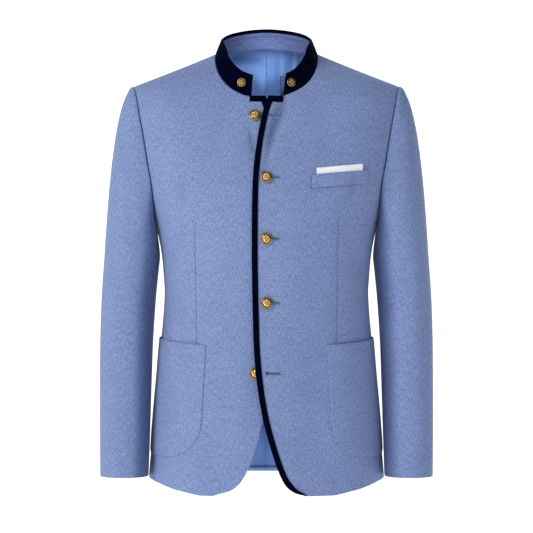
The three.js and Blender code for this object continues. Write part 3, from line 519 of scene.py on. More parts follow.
def close_rows(places):
    """Extra rows next to the first and the last one, at the rim's small distances."""
    rows = len(places) - 1
    first = np.median(np.linalg.norm(place_point(places[1]) - place_point(places[0]), axis=-1))
    last = np.median(np.linalg.norm(place_point(places[-1]) - place_point(places[-2]), axis=-1))
    start = [d / first for d in RIM_STEPS if d < first]
    end = [rows - d / last for d in RIM_STEPS[::-1] if d < last]
    at = np.array(start + list(range(1, rows)) + end)
    i = np.minimum(np.floor(at).astype(int), rows - 1)
    t = (at - i)[:, None, None]
    return places[i] * (1 - t) + places[i + 1] * t


def rim_distances(points):
    """Each point's way along the grid to the left, right, top and bottom rim."""
    across = np.linalg.norm(np.diff(points, axis=1), axis=-1)
    down = np.linalg.norm(np.diff(points, axis=0), axis=-1)
    left = np.pad(np.cumsum(across, axis=1), ((0, 0), (1, 0)))
    top = np.pad(np.cumsum(down, axis=0), ((1, 0), (0, 0)))
    return {"left": left, "right": left[:, -1:] - left, "top": top, "bottom": top[-1:] - top}


def rolled(distances, rims, width=2.6):
    """How far the face has sunk beside the named rims: depth · (share of the width left to the rim)²."""
    sunk = np.zeros(next(iter(distances.values())).shape)
    for rim, depth in rims.items():
        near = np.clip(1 - distances[rim] / width, 0, 1)
        sunk = np.maximum(sunk, depth * near ** 2)
    return sunk


# %% Rims drawn back from the seam


def drawn_back(points, gaps):
    """The rim's points moved into the piece, square to the rim, by the gap of each named rim."""
    out = points.copy()

    def draw(rim, inner, gap):
        along = unit(np.gradient(rim, axis=0))
        inward = inner - rim
        inward -= along * np.sum(inward * along, -1, keepdims=True)
        return unit(inward) * gap

    for rim, gap in gaps.items():
        if rim == "left":
            out[:, 0] += draw(points[:, 0], points[:, 1], gap)
        if rim == "right":
            out[:, -1] += draw(points[:, -1], points[:, -2], gap)
        if rim == "top":
            out[0] += draw(points[0], points[1], gap)
        if rim == "bottom":
            out[-1] += draw(points[-1], points[-2], gap)
    return out


# %% [markdown]
# ## From grids to meshes
# A wall of cloth is two grids, the outer and the inner face, joined round the rim. A swept strip, such as
# a binding or a thread, is a section carried along a path. Both come out closed, and the sign of the
# enclosed volume says whether the faces have to be turned round.

# %% Quads of a grid, a wall and a sweep


def grid_quads(rows, columns, start=0):
    i, j = np.meshgrid(np.arange(rows - 1), np.arange(columns - 1), indexing="ij")
    a = start + (i * columns + j).ravel()
    return np.stack([a, a + columns, a + columns + 1, a + 1], -1)


def wall_quads(rows, columns):
    """The outer face, the inner face turned round, and the rim between them."""
    count = rows * columns
    outer = grid_quads(rows, columns)
    inner = grid_quads(rows, columns, count)[:, ::-1]
    top = np.arange(columns - 1)
    right = np.arange(rows - 1) * columns + columns - 1
    bottom = (rows - 1) * columns + np.arange(columns - 1, 0, -1)
    left = np.arange(rows - 1, 0, -1) * columns
    rim = np.concatenate([top, right, bottom, left])
    after = np.roll(rim, -1)
    return np.concatenate([outer, inner, np.stack([rim, after, after + count, rim + count], -1)])


def tube_quads(rows, columns):
    """A grid whose last column joins its first one."""
    i, j = np.meshgrid(np.arange(rows - 1), np.arange(columns), indexing="ij")
    a = (i * columns + j).ravel()
    b = (i * columns + (j + 1) % columns).ravel()
    return np.stack([a, b, b + columns, a + columns], -1)


def signed_volume(points, quads):
    p = points[quads]
    halves = [(0, 1, 2), (0, 2, 3)]
    return sum(np.einsum("ij,ij->i", p[:, a], np.cross(p[:, b], p[:, c])).sum() for a, b, c in halves) / 6


def make_piece(name, points, quads, uv=None, values=None, ends=()):
    """A smooth closed mesh from points in millimetres, with its UV map and its named point values."""
    if signed_volume(points, quads) < 0:
        quads = quads[:, ::-1]
        ends = [face[::-1] for face in ends]
    mesh = bpy.data.meshes.new(name)
    mesh.from_pydata((points * MM).tolist(), [], quads.tolist() + [list(map(int, face)) for face in ends])
    mesh.validate()
    mesh.polygons.foreach_set("use_smooth", np.ones(len(mesh.polygons), bool))
    if uv is not None:
        corner = np.empty(len(mesh.loops), int)
        mesh.loops.foreach_get("vertex_index", corner)
        layer = mesh.uv_layers.new(name="cloth")
        layer.data.foreach_set("uv", (uv[corner] * MM).astype(np.float32).ravel())
    for key, value in (values or {}).items():
        mesh.attributes.new(key, "FLOAT", "POINT").data.foreach_set("value", value.astype(np.float32))
    made = bpy.data.objects.new(name, mesh)
    bpy.context.collection.objects.link(made)
    return made


def wall_piece(name, outer, inner, uv, values=None, side=1):
    """A wall of cloth from its two faces. A side of -1 mirrors it to the wearer's right."""
    rows, columns = outer.shape[:2]
    points = np.concatenate([outer.reshape(-1, 3), inner.reshape(-1, 3)])
    points[:, 0] *= side
    doubled = {key: np.tile(value.ravel(), 2) for key, value in (values or {}).items()}
    both_uv = np.tile(uv.reshape(-1, 2), (2, 1)) * (side, 1)
    return make_piece(name, points, wall_quads(rows, columns), both_uv, doubled)


def swept_piece(name, stations, uv, side=1, values=None):
    """A section carried along stations, closed by a face at either end. stations is (n, k, 3)."""
    n, k = stations.shape[:2]
    points = stations.reshape(-1, 3) * (side, 1, 1)
    first = np.arange(k)
    ends = [first, ((n - 1) * k + first)[::-1]]
    quads = tube_quads(n, k)
    flat_values = {key: value.ravel() for key, value in (values or {}).items()}
    return make_piece(name, points, quads, uv.reshape(-1, 2), flat_values, ends)


# %% [markdown]
# ## Cloth coordinates
# The weave has to lie along the cloth. A table of lengths, measured round the body and down it once,
# turns any (angle, level) into distances on the cloth, which the materials read as a UV map in metres.

# %% Lengths along the body
MAP_ANGLES = np.linspace(-0.5, np.pi + 0.1, 500)
MAP_LEVELS = np.linspace(0, BOTTOM, 400)
map_points = body_point(*np.meshgrid(MAP_ANGLES, MAP_LEVELS, indexing="ij"))
steps_round = np.linalg.norm(np.diff(map_points[..., :2], axis=0), axis=-1)
steps_down = np.linalg.norm(np.diff(map_points, axis=1), axis=-1)
map_round = np.pad(np.cumsum(steps_round, axis=0), ((1, 0), (0, 0)))
map_down = np.pad(np.cumsum(steps_down, axis=1), ((0, 0), (1, 0)))
zero = int(np.argmin(np.abs(MAP_ANGLES)))
map_round -= map_round[zero]
CLOTH_MAP = np.stack([map_round, map_down], -1)


def cloth_uv(places):
    """Distance round the body from the centre front and down from the shoulder, from four table entries."""
    a = np.clip(np.interp(places[..., 0], MAP_ANGLES, np.arange(len(MAP_ANGLES))), 0, len(MAP_ANGLES) - 1.001)
    b = np.clip(np.interp(places[..., 1], MAP_LEVELS, np.arange(len(MAP_LEVELS))), 0, len(MAP_LEVELS) - 1.001)
    i, j = a.astype(int), b.astype(int)
    s, t = (a - i)[..., None], (b - j)[..., None]
    near = CLOTH_MAP[i, j] * (1 - t) + CLOTH_MAP[i, j + 1] * t
    far = CLOTH_MAP[i + 1, j] * (1 - t) + CLOTH_MAP[i + 1, j + 1] * t
    return near * (1 - s) + far * s


# %% [markdown]
# ## Soft creases
# Milled wool with canvas behind it keeps very soft folds: long, shallow troughs that fade out at both
# ends. Each crease is a row: where it starts and ends on the cloth, how wide it is and how high.

# %% A field of creases


def creases(x, z, table):
    """The sum over rows of height · exp(-(distance off its line / width)²) · sin(π · share along)."""
    total = np.zeros(np.shape(x))
    for x0, z0, x1, z1, width, height in table:
        run = np.array([x1 - x0, z1 - z0], float)
        length = np.hypot(*run)
        along = ((x - x0) * run[0] + (z - z0) * run[1]) / length ** 2
        away = ((x - x0) * run[1] - (z - z0) * run[0]) / length
        fade = np.sin(np.pi * np.clip(along, 0, 1)) ** 1.5
        total += height * np.exp(-((away / width) ** 2)) * fade
    return total


# Columns: start x, start z, end x, end z, width, height (below 0 is a trough)
LEFT_CREASES = [
    (37, -48, -4, -170, 13, -2.9),
    (12, -112, -10, -226, 8, -2.2),
    (74, -84, 52, -160, 16, 0.9),
    (8, -190, 70, -250, 16, -0.9),
    (10, -300, 90, -322, 17, -1.0),
    (12, -402, 110, -372, 20, -1.3),
    (150, -150, 128, -292, 15, -1.6),
    (176, -190, 150, -330, 12, 1.2),
    (20, -470, 60, -640, 24, 1.6),
    (92, -560, 70, -700, 20, -1.2),
    (64, -330, 100, -470, 16, 0.8),
]
RIGHT_CREASES = [
    (34, -92, 15, -206, 8, -2.2),
    (46, -96, 60, -190, 14, 0.7),
    (150, -160, 126, -300, 14, -1.5),
    (178, -200, 152, -330, 12, 1.1),
    (16, -300, 96, -330, 18, -0.9),
    (12, -400, 116, -376, 20, -1.2),
    (30, -520, 62, -690, 24, 1.3),
    (96, -560, 74, -700, 20, -1.1),
]
BACK_CREASES = [
    (0, -120, 60, -230, 22, -1.1),
    (168, -170, 128, -300, 15, -1.8),
    (150, -150, 104, -270, 16, 1.3),
    (20, -330, 120, -372, 20, -1.6),
    (10, -380, 130, -410, 18, 1.2),
    (40, -470, 70, -680, 26, 1.4),
    (110, -480, 120, -690, 24, -1.3),
]
SIDE_CREASES = [
    (172, -300, 166, -420, 10, -1.0),
    (174, -420, 182, -640, 14, 0.8),
]

# %% [markdown]
# ## Woven materials
# The wool is milled: threads of three blues are spun together, so the colour breaks up into flecks and
# short vertical slubs, over a fine twill. Velvet is a dense pile, almost black until light grazes it.
# Satin reflects in long soft streaks. The wool's flecks and the sewn lines are node groups that are built
# once and used with their own values, and a Principled BSDF stays in every material.

# %% Helpers for node groups


def new_group(name, inputs, outputs):
    """A shader node group. inputs and outputs are (name, socket type, default value or None)."""
    group = bpy.data.node_groups.new(name, "ShaderNodeTree")
    for in_out, sockets in (("INPUT", inputs), ("OUTPUT", outputs)):
        for socket_name, kind, default in sockets:
            socket = group.interface.new_socket(
                name=socket_name, in_out=in_out, socket_type="NodeSocket" + kind)
            if default is not None:
                socket.default_value = default
    nodes = group.nodes
    return group, nodes.new("NodeGroupInput"), nodes.new("NodeGroupOutput")


def math_node(tree, operation, a, b=None, c=None, clamp=False):
    """A Math node on sockets or numbers. Returns its output."""
    node = tree.nodes.new("ShaderNodeMath")
    node.operation = operation
    node.use_clamp = clamp
    for socket, value in zip(node.inputs, (a, b, c)):
        if value is None:
            continue
        if isinstance(value, (int, float)):
            socket.default_value = value
        else:
            tree.links.new(value, socket)
    return node.outputs[0]


def mapped(tree, vector, scale):
    """The vector scaled along each axis."""
    node = tree.nodes.new("ShaderNodeMapping")
    node.inputs["Scale"].default_value = scale
    tree.links.new(vector, node.inputs["Vector"])
    return node.outputs["Vector"]


def noise(tree, vector, scale, detail=2.0, roughness=0.5):
    node = tree.nodes.new("ShaderNodeTexNoise")
    node.inputs["Scale"].default_value = scale
    node.inputs["Detail"].default_value = detail
    node.inputs["Roughness"].default_value = roughness
    tree.links.new(vector, node.inputs["Vector"])
    return node.outputs["Fac"]


def ranged(tree, value, low, high, to_low=0.0, to_high=1.0):
    """The value stretched from low..high to another range, clamped."""
    node = tree.nodes.new("ShaderNodeMapRange")
    for name, number in (("From Min", low), ("From Max", high), ("To Min", to_low), ("To Max", to_high)):
        node.inputs[name].default_value = number
    tree.links.new(value, node.inputs["Value"])
    return node.outputs["Result"]


def mixed_colour(tree, share, a, b, blend="MIX"):
    """Two colours mixed by a share, each a socket or an RGBA value."""
    node = tree.nodes.new("ShaderNodeMix")
    node.data_type = "RGBA"
    node.blend_type = blend
    factor, first, second = node.inputs[0], node.inputs[6], node.inputs[7]
    for socket, value in ((factor, share), (first, a), (second, b)):
        if isinstance(value, (int, float, tuple)):
            socket.default_value = value
        else:
            tree.links.new(value, socket)
    return node.outputs[2]


# %% The milled wool's colour and relief


def milled_wool():
    """Flecks are noise in thread-sized cells, slubs are noise drawn out along the warp, and the twill is a
    diagonal wave. Colour runs from the dark over the middle to the light yarn, and the relief adds them."""
    inputs = [("Vector", "Vector", None), ("Dark", "Color", (0.1, 0.15, 0.4, 1)),
              ("Middle", "Color", (0.2, 0.3, 0.6, 1)), ("Light", "Color", (0.4, 0.5, 0.8, 1)),
              ("Contrast", "Float", 1.0)]
    outputs = [("Color", "Color", None), ("Height", "Float", None)]
    group, start, end = new_group("milled_wool", inputs, outputs)
    vector = start.outputs["Vector"]
    fleck = noise(group, mapped(group, vector, (520, 380, 520)), 1.0, 3.0, 0.62)
    slub = noise(group, mapped(group, vector, (640, 130, 640)), 1.0, 2.0, 0.6)
    cloud = noise(group, mapped(group, vector, (26, 18, 26)), 1.0, 3.0, 0.55)
    wave = group.nodes.new("ShaderNodeTexWave")
    wave.bands_direction = "DIAGONAL"
    wave.inputs["Scale"].default_value = 1.0
    wave.inputs["Distortion"].default_value = 1.6
    wave.inputs["Detail"].default_value = 2.0
    wave.inputs["Detail Scale"].default_value = 1.5
    group.links.new(mapped(group, vector, (330, 330, 330)), wave.inputs["Vector"])
    blend = math_node(group, "ADD", math_node(group, "MULTIPLY", fleck, 0.62),
                      math_node(group, "MULTIPLY", slub, 0.38))
    centred = math_node(group, "SUBTRACT", blend, 0.5)
    spread = math_node(group, "MULTIPLY", centred, start.outputs["Contrast"])
    lighter = ranged(group, spread, 0.0, 0.16)
    darker = ranged(group, spread, -0.16, 0.0, 1.0, 0.0)
    colour = mixed_colour(group, lighter, start.outputs["Middle"], start.outputs["Light"])
    colour = mixed_colour(group, darker, colour, start.outputs["Dark"])
    shade = ranged(group, cloud, 0.3, 0.7, 0.955, 1.045)
    brighter = group.nodes.new("ShaderNodeHueSaturation")
    group.links.new(shade, brighter.inputs["Value"])
    group.links.new(colour, brighter.inputs["Color"])
    group.links.new(brighter.outputs["Color"], end.inputs["Color"])
    relief = math_node(group, "ADD", math_node(group, "MULTIPLY", wave.outputs["Fac"], 0.35), blend)
    group.links.new(relief, end.inputs["Height"])
    return group


# %% A line of seam or stitching


def sewn_line():
    """From a signed distance to the line and the way along it, in millimetres: a narrow valley, and
    stitches that come and go along it. Stitches of 0 leaves a plain seam."""
    inputs = [("Distance", "Float", 100.0), ("Along", "Float", 0.0), ("Width", "Float", 0.8),
              ("Stitch", "Float", 3.0)]
    outputs = [("Valley", "Float", None), ("Thread", "Float", None)]
    group, start, end = new_group("sewn_line", inputs, outputs)
    away = math_node(group, "ABSOLUTE", start.outputs["Distance"])
    share = math_node(group, "DIVIDE", away, start.outputs["Width"])
    valley = ranged(group, share, 0.0, 1.0, 1.0, 0.0)
    stitches = math_node(group, "DIVIDE", start.outputs["Along"], start.outputs["Stitch"])
    step = math_node(group, "FRACT", stitches)
    from_middle = math_node(group, "ABSOLUTE", math_node(group, "SUBTRACT", step, 0.5))
    gap = ranged(group, from_middle, 0.26, 0.36, 1.0, 0.0)
    thread = math_node(group, "MULTIPLY", ranged(group, share, 0.35, 0.6, 1.0, 0.0), gap)
    group.links.new(valley, end.inputs["Valley"])
    group.links.new(thread, end.inputs["Thread"])
    return group


GROUPS = {"wool": milled_wool(), "sewn": sewn_line()}

# %% Materials


def group_node(tree, group, **values):
    """A group's node, with each named input set to a number or linked to a socket."""
    node = tree.nodes.new("ShaderNodeGroup")
    node.node_tree = group
    for name, value in values.items():
        if isinstance(value, (int, float, tuple)):
            node.inputs[name].default_value = value
        else:
            tree.links.new(value, node.inputs[name])
    return node


def attribute(tree, name):
    node = tree.nodes.new("ShaderNodeAttribute")
    node.attribute_name = name
    return node.outputs["Fac"]


def cloth_vector(tree):
    node = tree.nodes.new("ShaderNodeUVMap")
    node.uv_map = "cloth"
    return node.outputs["UV"]


def new_material(name, roughness, **plain):
    """A material, its tree and its Principled BSDF, with plain numbers on the shader's own sockets."""
    material = bpy.data.materials.new(name)
    material.use_nodes = True
    shader = material.node_tree.nodes["Principled BSDF"]
    shader.inputs["Roughness"].default_value = roughness
    for socket, value in plain.items():
        shader.inputs[socket.replace("_", " ")].default_value = value
    return material, material.node_tree, shader


def bump(tree, shader, height, strength, distance):
    node = tree.nodes.new("ShaderNodeBump")
    node.inputs["Strength"].default_value = strength
    node.inputs["Distance"].default_value = distance
    tree.links.new(height, node.inputs["Height"])
    tree.links.new(node.outputs["Normal"], shader.inputs["Normal"])


def sewn_on(tree, width, stitch):
    """The seam group's node, fed by the points' values seam and along."""
    return group_node(tree, GROUPS["sewn"], Distance=attribute(tree, "seam"), Along=attribute(tree, "along"),
                      Width=width, Stitch=stitch)


def wool_material(name, dark, middle, light, contrast):
    """Milled wool. The points' values seam and along draw a dart or a row of stitches on it."""
    material, tree, shader = new_material(name, 0.92, Sheen_Weight=0.22, Sheen_Roughness=0.5,
                                          Specular_IOR_Level=0.18)
    shader.inputs["Sheen Tint"].default_value = (0.75, 0.83, 1, 1)
    wool = group_node(tree, GROUPS["wool"], Vector=cloth_vector(tree), Dark=dark, Middle=middle, Light=light,
                      Contrast=contrast)
    colour, height = wool.outputs["Color"], wool.outputs["Height"]
    line = sewn_on(tree, width=1.1, stitch=3.2)
    colour = mixed_colour(tree, math_node(tree, "MULTIPLY", line.outputs["Valley"], 0.75), colour,
                          tuple(0.55 * value for value in dark[:3]) + (1,))
    height = math_node(tree, "SUBTRACT", height, math_node(tree, "MULTIPLY", line.outputs["Valley"], 1.6))
    height = math_node(tree, "ADD", height, math_node(tree, "MULTIPLY", line.outputs["Thread"], 0.9))
    trough = ranged(tree, attribute(tree, "fold"), -3.0, -1.1, 1.0, 0.0)
    colour = mixed_colour(tree, trough, colour, (0.42, 0.45, 0.52, 1), "MULTIPLY")  # troughs see less light
    tree.links.new(colour, shader.inputs["Base Color"])
    bump(tree, shader, height, 0.5, 0.0005)
    return material


WOOL_DARK = (0.135, 0.195, 0.425, 1)
WOOL_MIDDLE = (0.235, 0.315, 0.58, 1)
WOOL_LIGHT = (0.37, 0.455, 0.72, 1)
WOOL = wool_material("milled_blue_wool", WOOL_DARK, WOOL_MIDDLE, WOOL_LIGHT, 1.3)
COLLAR_WOOL = wool_material("collar_wool", (0.064, 0.092, 0.235, 1), (0.106, 0.152, 0.34, 1),
                            (0.17, 0.23, 0.46, 1), 1.5)


def velvet_material():
    """A dark pile: its base hardly reflects, the sheen lights up at grazing angles, and the nap's patches
    change how deep it looks."""
    material, tree, shader = new_material("navy_velvet", 1.0, Sheen_Weight=0.05, Sheen_Roughness=0.35,
                                          Specular_IOR_Level=0.03)
    shader.inputs["Sheen Tint"].default_value = (0.08, 0.12, 0.6, 1)
    vector = cloth_vector(tree)
    pile = noise(tree, mapped(tree, vector, (1500, 1500, 1500)), 1.0, 2.0)
    nap = noise(tree, mapped(tree, vector, (55, 120, 55)), 1.0, 3.0)
    deep = ranged(tree, nap, 0.35, 0.7)
    colour = mixed_colour(tree, deep, (0.0003, 0.0006, 0.006, 1), (0.001, 0.0022, 0.02, 1))
    tree.links.new(colour, shader.inputs["Base Color"])
    bump(tree, shader, pile, 0.6, 0.0004)
    return material


VELVET = velvet_material()


def satin_material():
    """Smooth warp threads: low roughness, long streaks along the cloth, a fine cross weave, and the stitched
    centre seam."""
    material, tree, shader = new_material("sky_satin", 0.42, Sheen_Weight=0.1, Specular_IOR_Level=0.5)
    vector = cloth_vector(tree)
    streak = noise(tree, mapped(tree, vector, (900, 60, 900)), 1.0, 2.0)
    soft = noise(tree, mapped(tree, vector, (30, 12, 30)), 1.0, 2.0)
    colour = mixed_colour(tree, streak, (0.155, 0.3, 0.68, 1), (0.195, 0.355, 0.75, 1))
    colour = mixed_colour(tree, ranged(tree, soft, 0.35, 0.65), colour, (0.215, 0.385, 0.79, 1))
    line = sewn_on(tree, width=1.5, stitch=14.0)
    sewn = math_node(tree, "ADD", math_node(tree, "MULTIPLY", line.outputs["Valley"], 0.3),
                     math_node(tree, "MULTIPLY", line.outputs["Thread"], 0.7))
    colour = mixed_colour(tree, sewn, colour, (0.02, 0.06, 0.24, 1))
    trough = ranged(tree, attribute(tree, "fold"), -2.6, 0.3, 0.75, 0.0)
    colour = mixed_colour(tree, trough, colour, (0.03, 0.1, 0.34, 1))  # troughs see less light
    tree.links.new(colour, shader.inputs["Base Color"])
    tree.links.new(ranged(tree, streak, 0.3, 0.7, 0.36, 0.5), shader.inputs["Roughness"])
    height = math_node(tree, "SUBTRACT", streak, math_node(tree, "MULTIPLY", line.outputs["Valley"], 1.4))
    bump(tree, shader, height, 0.35, 0.0003)
    return material


SATIN = satin_material()


def linen_material():
    """A plain weave: two sets of ribs at right angles, in white."""
    material, tree, shader = new_material("white_linen", 0.85, Specular_IOR_Level=0.2)
    vector = cloth_vector(tree)
    ribs = []
    for scale in ((1800, 220, 900), (220, 1800, 900)):
        ribs.append(noise(tree, mapped(tree, vector, scale), 1.0, 2.0))
    weave = math_node(tree, "MULTIPLY", math_node(tree, "ADD", *ribs), 0.5)
    colour = mixed_colour(tree, ranged(tree, weave, 0.35, 0.65), (0.95, 0.95, 0.97, 1), (1, 1, 1, 1))
    tree.links.new(colour, shader.inputs["Base Color"])
    shader.inputs["Emission Color"].default_value = (0.9, 0.94, 1, 1)
    shader.inputs["Emission Strength"].default_value = 0.13  # painted light: the square glows a little, so that it comes out brighter white
    bump(tree, shader, weave, 0.5, 0.0004)
    return material


LINEN = linen_material()


def brass_material():
    """Gilt metal: bright on the relief and darker in its hollows, which the points' value depth gives:
    painted shade.
    """
    material, tree, shader = new_material("gilt_brass", 0.26, Metallic=1.0)
    coordinates = tree.nodes.new("ShaderNodeTexCoord")
    tarnish = noise(tree, coordinates.outputs["Object"], 900, 3.0)
    # Painted shade: the low relief, and the button's back and shank, turn dark brown
    hollow = ranged(tree, attribute(tree, "depth"), -0.05, 0.5, 1.0, 0.0)
    colour = mixed_colour(tree, hollow, (0.98, 0.7, 0.29, 1), (0.09, 0.035, 0.006, 1))
    colour = mixed_colour(tree, ranged(tree, tarnish, 0.45, 0.75, 0.0, 0.3), colour, (0.6, 0.35, 0.1, 1))
    tree.links.new(colour, shader.inputs["Base Color"])
    tree.links.new(ranged(tree, tarnish, 0.3, 0.7, 0.17, 0.32), shader.inputs["Roughness"])
    return material


BRASS = brass_material()


def paper_material():
    material, tree, shader = new_material("white_paper", 0.95, Specular_IOR_Level=0.1)
    coordinates = tree.nodes.new("ShaderNodeTexCoord")
    grain = noise(tree, coordinates.outputs["Object"], 3.0)
    colour = mixed_colour(tree, grain, (0.93, 0.93, 0.93, 1), (0.96, 0.96, 0.96, 1))
    tree.links.new(colour, shader.inputs["Base Color"])
    shader.inputs["Emission Color"].default_value = (1, 1, 1, 1)
    shader.inputs["Emission Strength"].default_value = 0.5  # lit from behind, so that it stays white
    return material


print("materials:", len(bpy.data.materials))

# %% [markdown]
# ## Finishing a piece of cloth
# Each finished piece takes its material and the body it rides on, and hides the solid it stands for.

# %% One call for each piece of cloth


def dress(made, material, node):
    """Gives a piece its material and its body, and hides the node it stands for."""
    made.data.materials.append(material)
    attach(made, "root")
    if node:
        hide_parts(node)
    return made


NO_LINE = 1000.0  # a distance that no line reaches


def cloth_panel(name, places, lift, cloth, slot_and_material, node, side=1, off=0.0, table=(), rims=None,
                gaps=None, shape=None, lines=None, width=2.6, fold=None):
    """A wall on the body: outer face = surface + normal · (lift + off + creases - roll), inner face = outer
    face's place less the cloth's thickness. shape(places, points) adds to it, and lines(points) gives the
    seam's distance and the way along it."""
    surface, normal = place_point(places), body_normal(places[..., 0], places[..., 1])
    distances = rim_distances(surface)
    soft = creases(surface[..., 0], surface[..., 2], table)
    if shape is not None:
        soft = soft + shape(places, surface)
    raised = lift(surface[..., 0], surface[..., 2]) + off + soft
    roll = rolled(distances, rims or {}, width)
    outer = surface + normal * (raised - roll)[..., None]
    inner = surface + normal * (raised - cloth + 0.6 * roll)[..., None]
    gaps = gaps or {}
    outer, inner = drawn_back(outer, gaps), drawn_back(inner, gaps)
    grid = surface.shape[:2]
    seam, along = lines(surface) if lines else (np.full(grid, NO_LINE), np.zeros(grid))
    slot, material = slot_and_material
    # The point value fold is the creases' height, or what fold(points) gives; the materials paint shade into
    # its troughs
    hollow = fold(surface) if fold else creases(surface[..., 0], surface[..., 2], table)
    values = {"seam": seam, "along": along, "fold": hollow}
    made = wall_piece(name, outer, inner, cloth_uv(places), values, side)
    return dress(made, material, node)


# %% [markdown]
# ## The fronts
# Each front runs from the neck to the rounded hem and round to the armhole. The wearer's left one laps over
# the right, so it stands off by its lift. A dart takes in the chest: a single fine seam that starts
# below the armhole's height and disappears under the pocket.

# %% Fronts
DART = {"x": 117, "top": -283, "foot": -477, "drift": -3.0}
SEAM_ROLL = 0.75
EDGE_ROLL = 0.65
HAIR = 0.06  # the gap that two pieces keep at a seam


def dart_line(points):
    """The signed distance to the dart, which widens to nothing past its ends, and the way down it."""
    x, z = points[..., 0], points[..., 2]
    line_x = DART["x"] + DART["drift"] * (DART["top"] - z) / (DART["top"] - DART["foot"])
    past = np.maximum(0, np.maximum(z - DART["top"], DART["foot"] - z))
    away = x - line_x
    return np.where(away < 0, -1, 1) * np.hypot(away, past * 0.5), -z


def dart_shape(places, points):
    """The cloth sinks a little towards the dart: a trough 7 mm to either side, deepest at its middle."""
    away, _ = dart_line(points)
    return -0.7 * np.exp(-((away / 5) ** 2))


def front_places(table):
    neck = walk(NECK_FRONT, np.linspace(0, 1, NECK_STEPS * FINE + 1))
    left = np.concatenate([neck, front_edge(table)])
    arm = walk(ARM_FRONT, np.linspace(0, FRONT_ARM_STEPS / ARM_STEPS, FRONT_ARM_STEPS * FINE + 1))
    side = walk(FORE_SEAM_LINE, np.linspace(0, 1, SIDE_STEPS * FINE + 1))
    right = np.concatenate([arm, side[1:]])
    return close_rows(panel_places(left, right, 66, front_hem))


FRONT_RIMS = {"right": SEAM_ROLL, "top": SEAM_ROLL, "bottom": EDGE_ROLL, "left": EDGE_ROLL}
FRONT_GAPS = {"right": HAIR, "top": HAIR, "bottom": HAIR}
left_places = front_places(OVERLAP_EDGE)
right_places = front_places(UNDERLAP_EDGE)
FRONT_FINISH = {"rims": FRONT_RIMS, "gaps": FRONT_GAPS, "shape": dart_shape, "lines": dart_line, "width": 2.0}
front_left = cloth_panel("front_left_cloth", left_places, overlap_lift, BODY_CLOTH, ("wool", WOOL),
                         "front_left", table=LEFT_CREASES, **FRONT_FINISH)
front_right = cloth_panel("front_right_cloth", right_places, no_lift, BODY_CLOTH, ("wool", WOOL),
                          "front_right", -1, table=RIGHT_CREASES, **FRONT_FINISH)
print("fronts:", len(front_left.data.polygons), len(front_right.data.polygons), "faces")

# %% [markdown]
# ## Buttonholes
# A tailored buttonhole is a keyhole: a round eye towards the edge and a slit, whipped all round with
# buttonhole thread. The eye and the slit are cut through the left front by a Boolean with a keyhole
# prism, and the thread is a tube along the keyhole's outline whose radius swells at every stitch.

# %% Axes on the left front
BUTTONS = [  # out, height, whether it is fastened
    (-18.7, -105, False),
    (0, -207.8, True),
    (0, -306, True),
    (0.5, -410, True),
    (-18, -524, False),
]
EYE, SLIT, HOLE_LENGTH = 2.3, 1.5, 19.8
UNFASTENED_EYE = 1


def front_axes(x, z, lift):
    """The origin and the axes along, up and out of the cloth, at a distance and a height on the front."""
    place = front_place(x, z)
    point, normal = place_point(place), body_normal(place[..., 0], place[..., 1])
    across = unit(np.array([1.0, 0, 0]) - normal * normal[0])
    origin = point + normal * lift(point[0], point[2])
    return origin, np.stack([across, np.cross(normal, across), normal])


def keyhole(eye, slit, length, steps=18):
    """The outline of a round eye at the origin and a slit along +x, as (n, 2)."""
    start = math.asin(slit / 2 / eye)
    turns = np.linspace(start, 2 * math.pi - start, steps)
    round_part = np.stack([eye * np.cos(turns), eye * np.sin(turns)], -1)
    end = np.linspace(-math.pi / 2, math.pi / 2, 5)
    tip = np.stack([length + slit / 2 * np.cos(end), slit / 2 * np.sin(end)], -1)
    return np.concatenate([round_part, tip])


def closed_walk(points, steps):
    """Even steps round a closed outline."""
    ring = np.concatenate([points, points[:1]])
    length = lengths_along(ring)
    return at_lengths(np.linspace(0, length[-1], steps, endpoint=False), length, ring)


# %% The holes cut, and their thread
THREAD_STEPS = 220
THREAD_SIDES = 6
STITCHES = 55
hole_threads = []
for number, (out, z, fastened) in enumerate(BUTTONS, 1):
    origin, axes = front_axes(out if fastened else UNFASTENED_EYE, z, overlap_lift)
    sink = float(creases(np.array(origin[0]), np.array(origin[2]), LEFT_CREASES))
    origin = origin + axes[2] * sink
    outline = keyhole(EYE, SLIT, HOLE_LENGTH)
    prism = np.concatenate([
        np.concatenate([outline, np.full((len(outline), 1), depth)], 1) for depth in (3.5, -6.0)
    ]) @ axes + origin
    n = len(outline)
    first = np.arange(n)
    sides = np.stack([first, (first + 1) % n, (first + 1) % n + n, first + n], -1)
    cutter = make_piece(f"keyhole_{number}", prism, sides, ends=[first[::-1], first + n])
    cut = front_left.modifiers.new("hole", "BOOLEAN")
    cut.operation, cut.solver, cut.object = "DIFFERENCE", "EXACT", cutter
    bpy.context.view_layer.objects.active = front_left
    bpy.ops.object.modifier_apply(modifier=cut.name)
    bpy.data.objects.remove(cutter)
    path = closed_walk(keyhole(EYE + 0.15, SLIT + 0.3, HOLE_LENGTH + 0.2, 40), THREAD_STEPS)
    away = unit(path - np.roll(path, 2, axis=0))[:, ::-1] * (1, -1)
    swell = 0.78 + 0.2 * np.abs(np.sin(np.pi * np.linspace(0, STITCHES, THREAD_STEPS, endpoint=False)))
    turns = np.linspace(0, 2 * np.pi, THREAD_SIDES, endpoint=False)
    outwards = 0.3 + np.cos(turns)[None, :, None] * 0.75 * swell[:, None, None]
    ring_flat = path[:, None] + away[:, None] * outwards
    ring_up = 0.05 + np.sin(turns)[None] * swell[:, None] * 0.5
    ring = np.concatenate([ring_flat, ring_up[..., None]], -1) @ axes + origin
    hole_threads.append(ring)
print("front_left after cutting:", len(front_left.data.polygons), "faces")


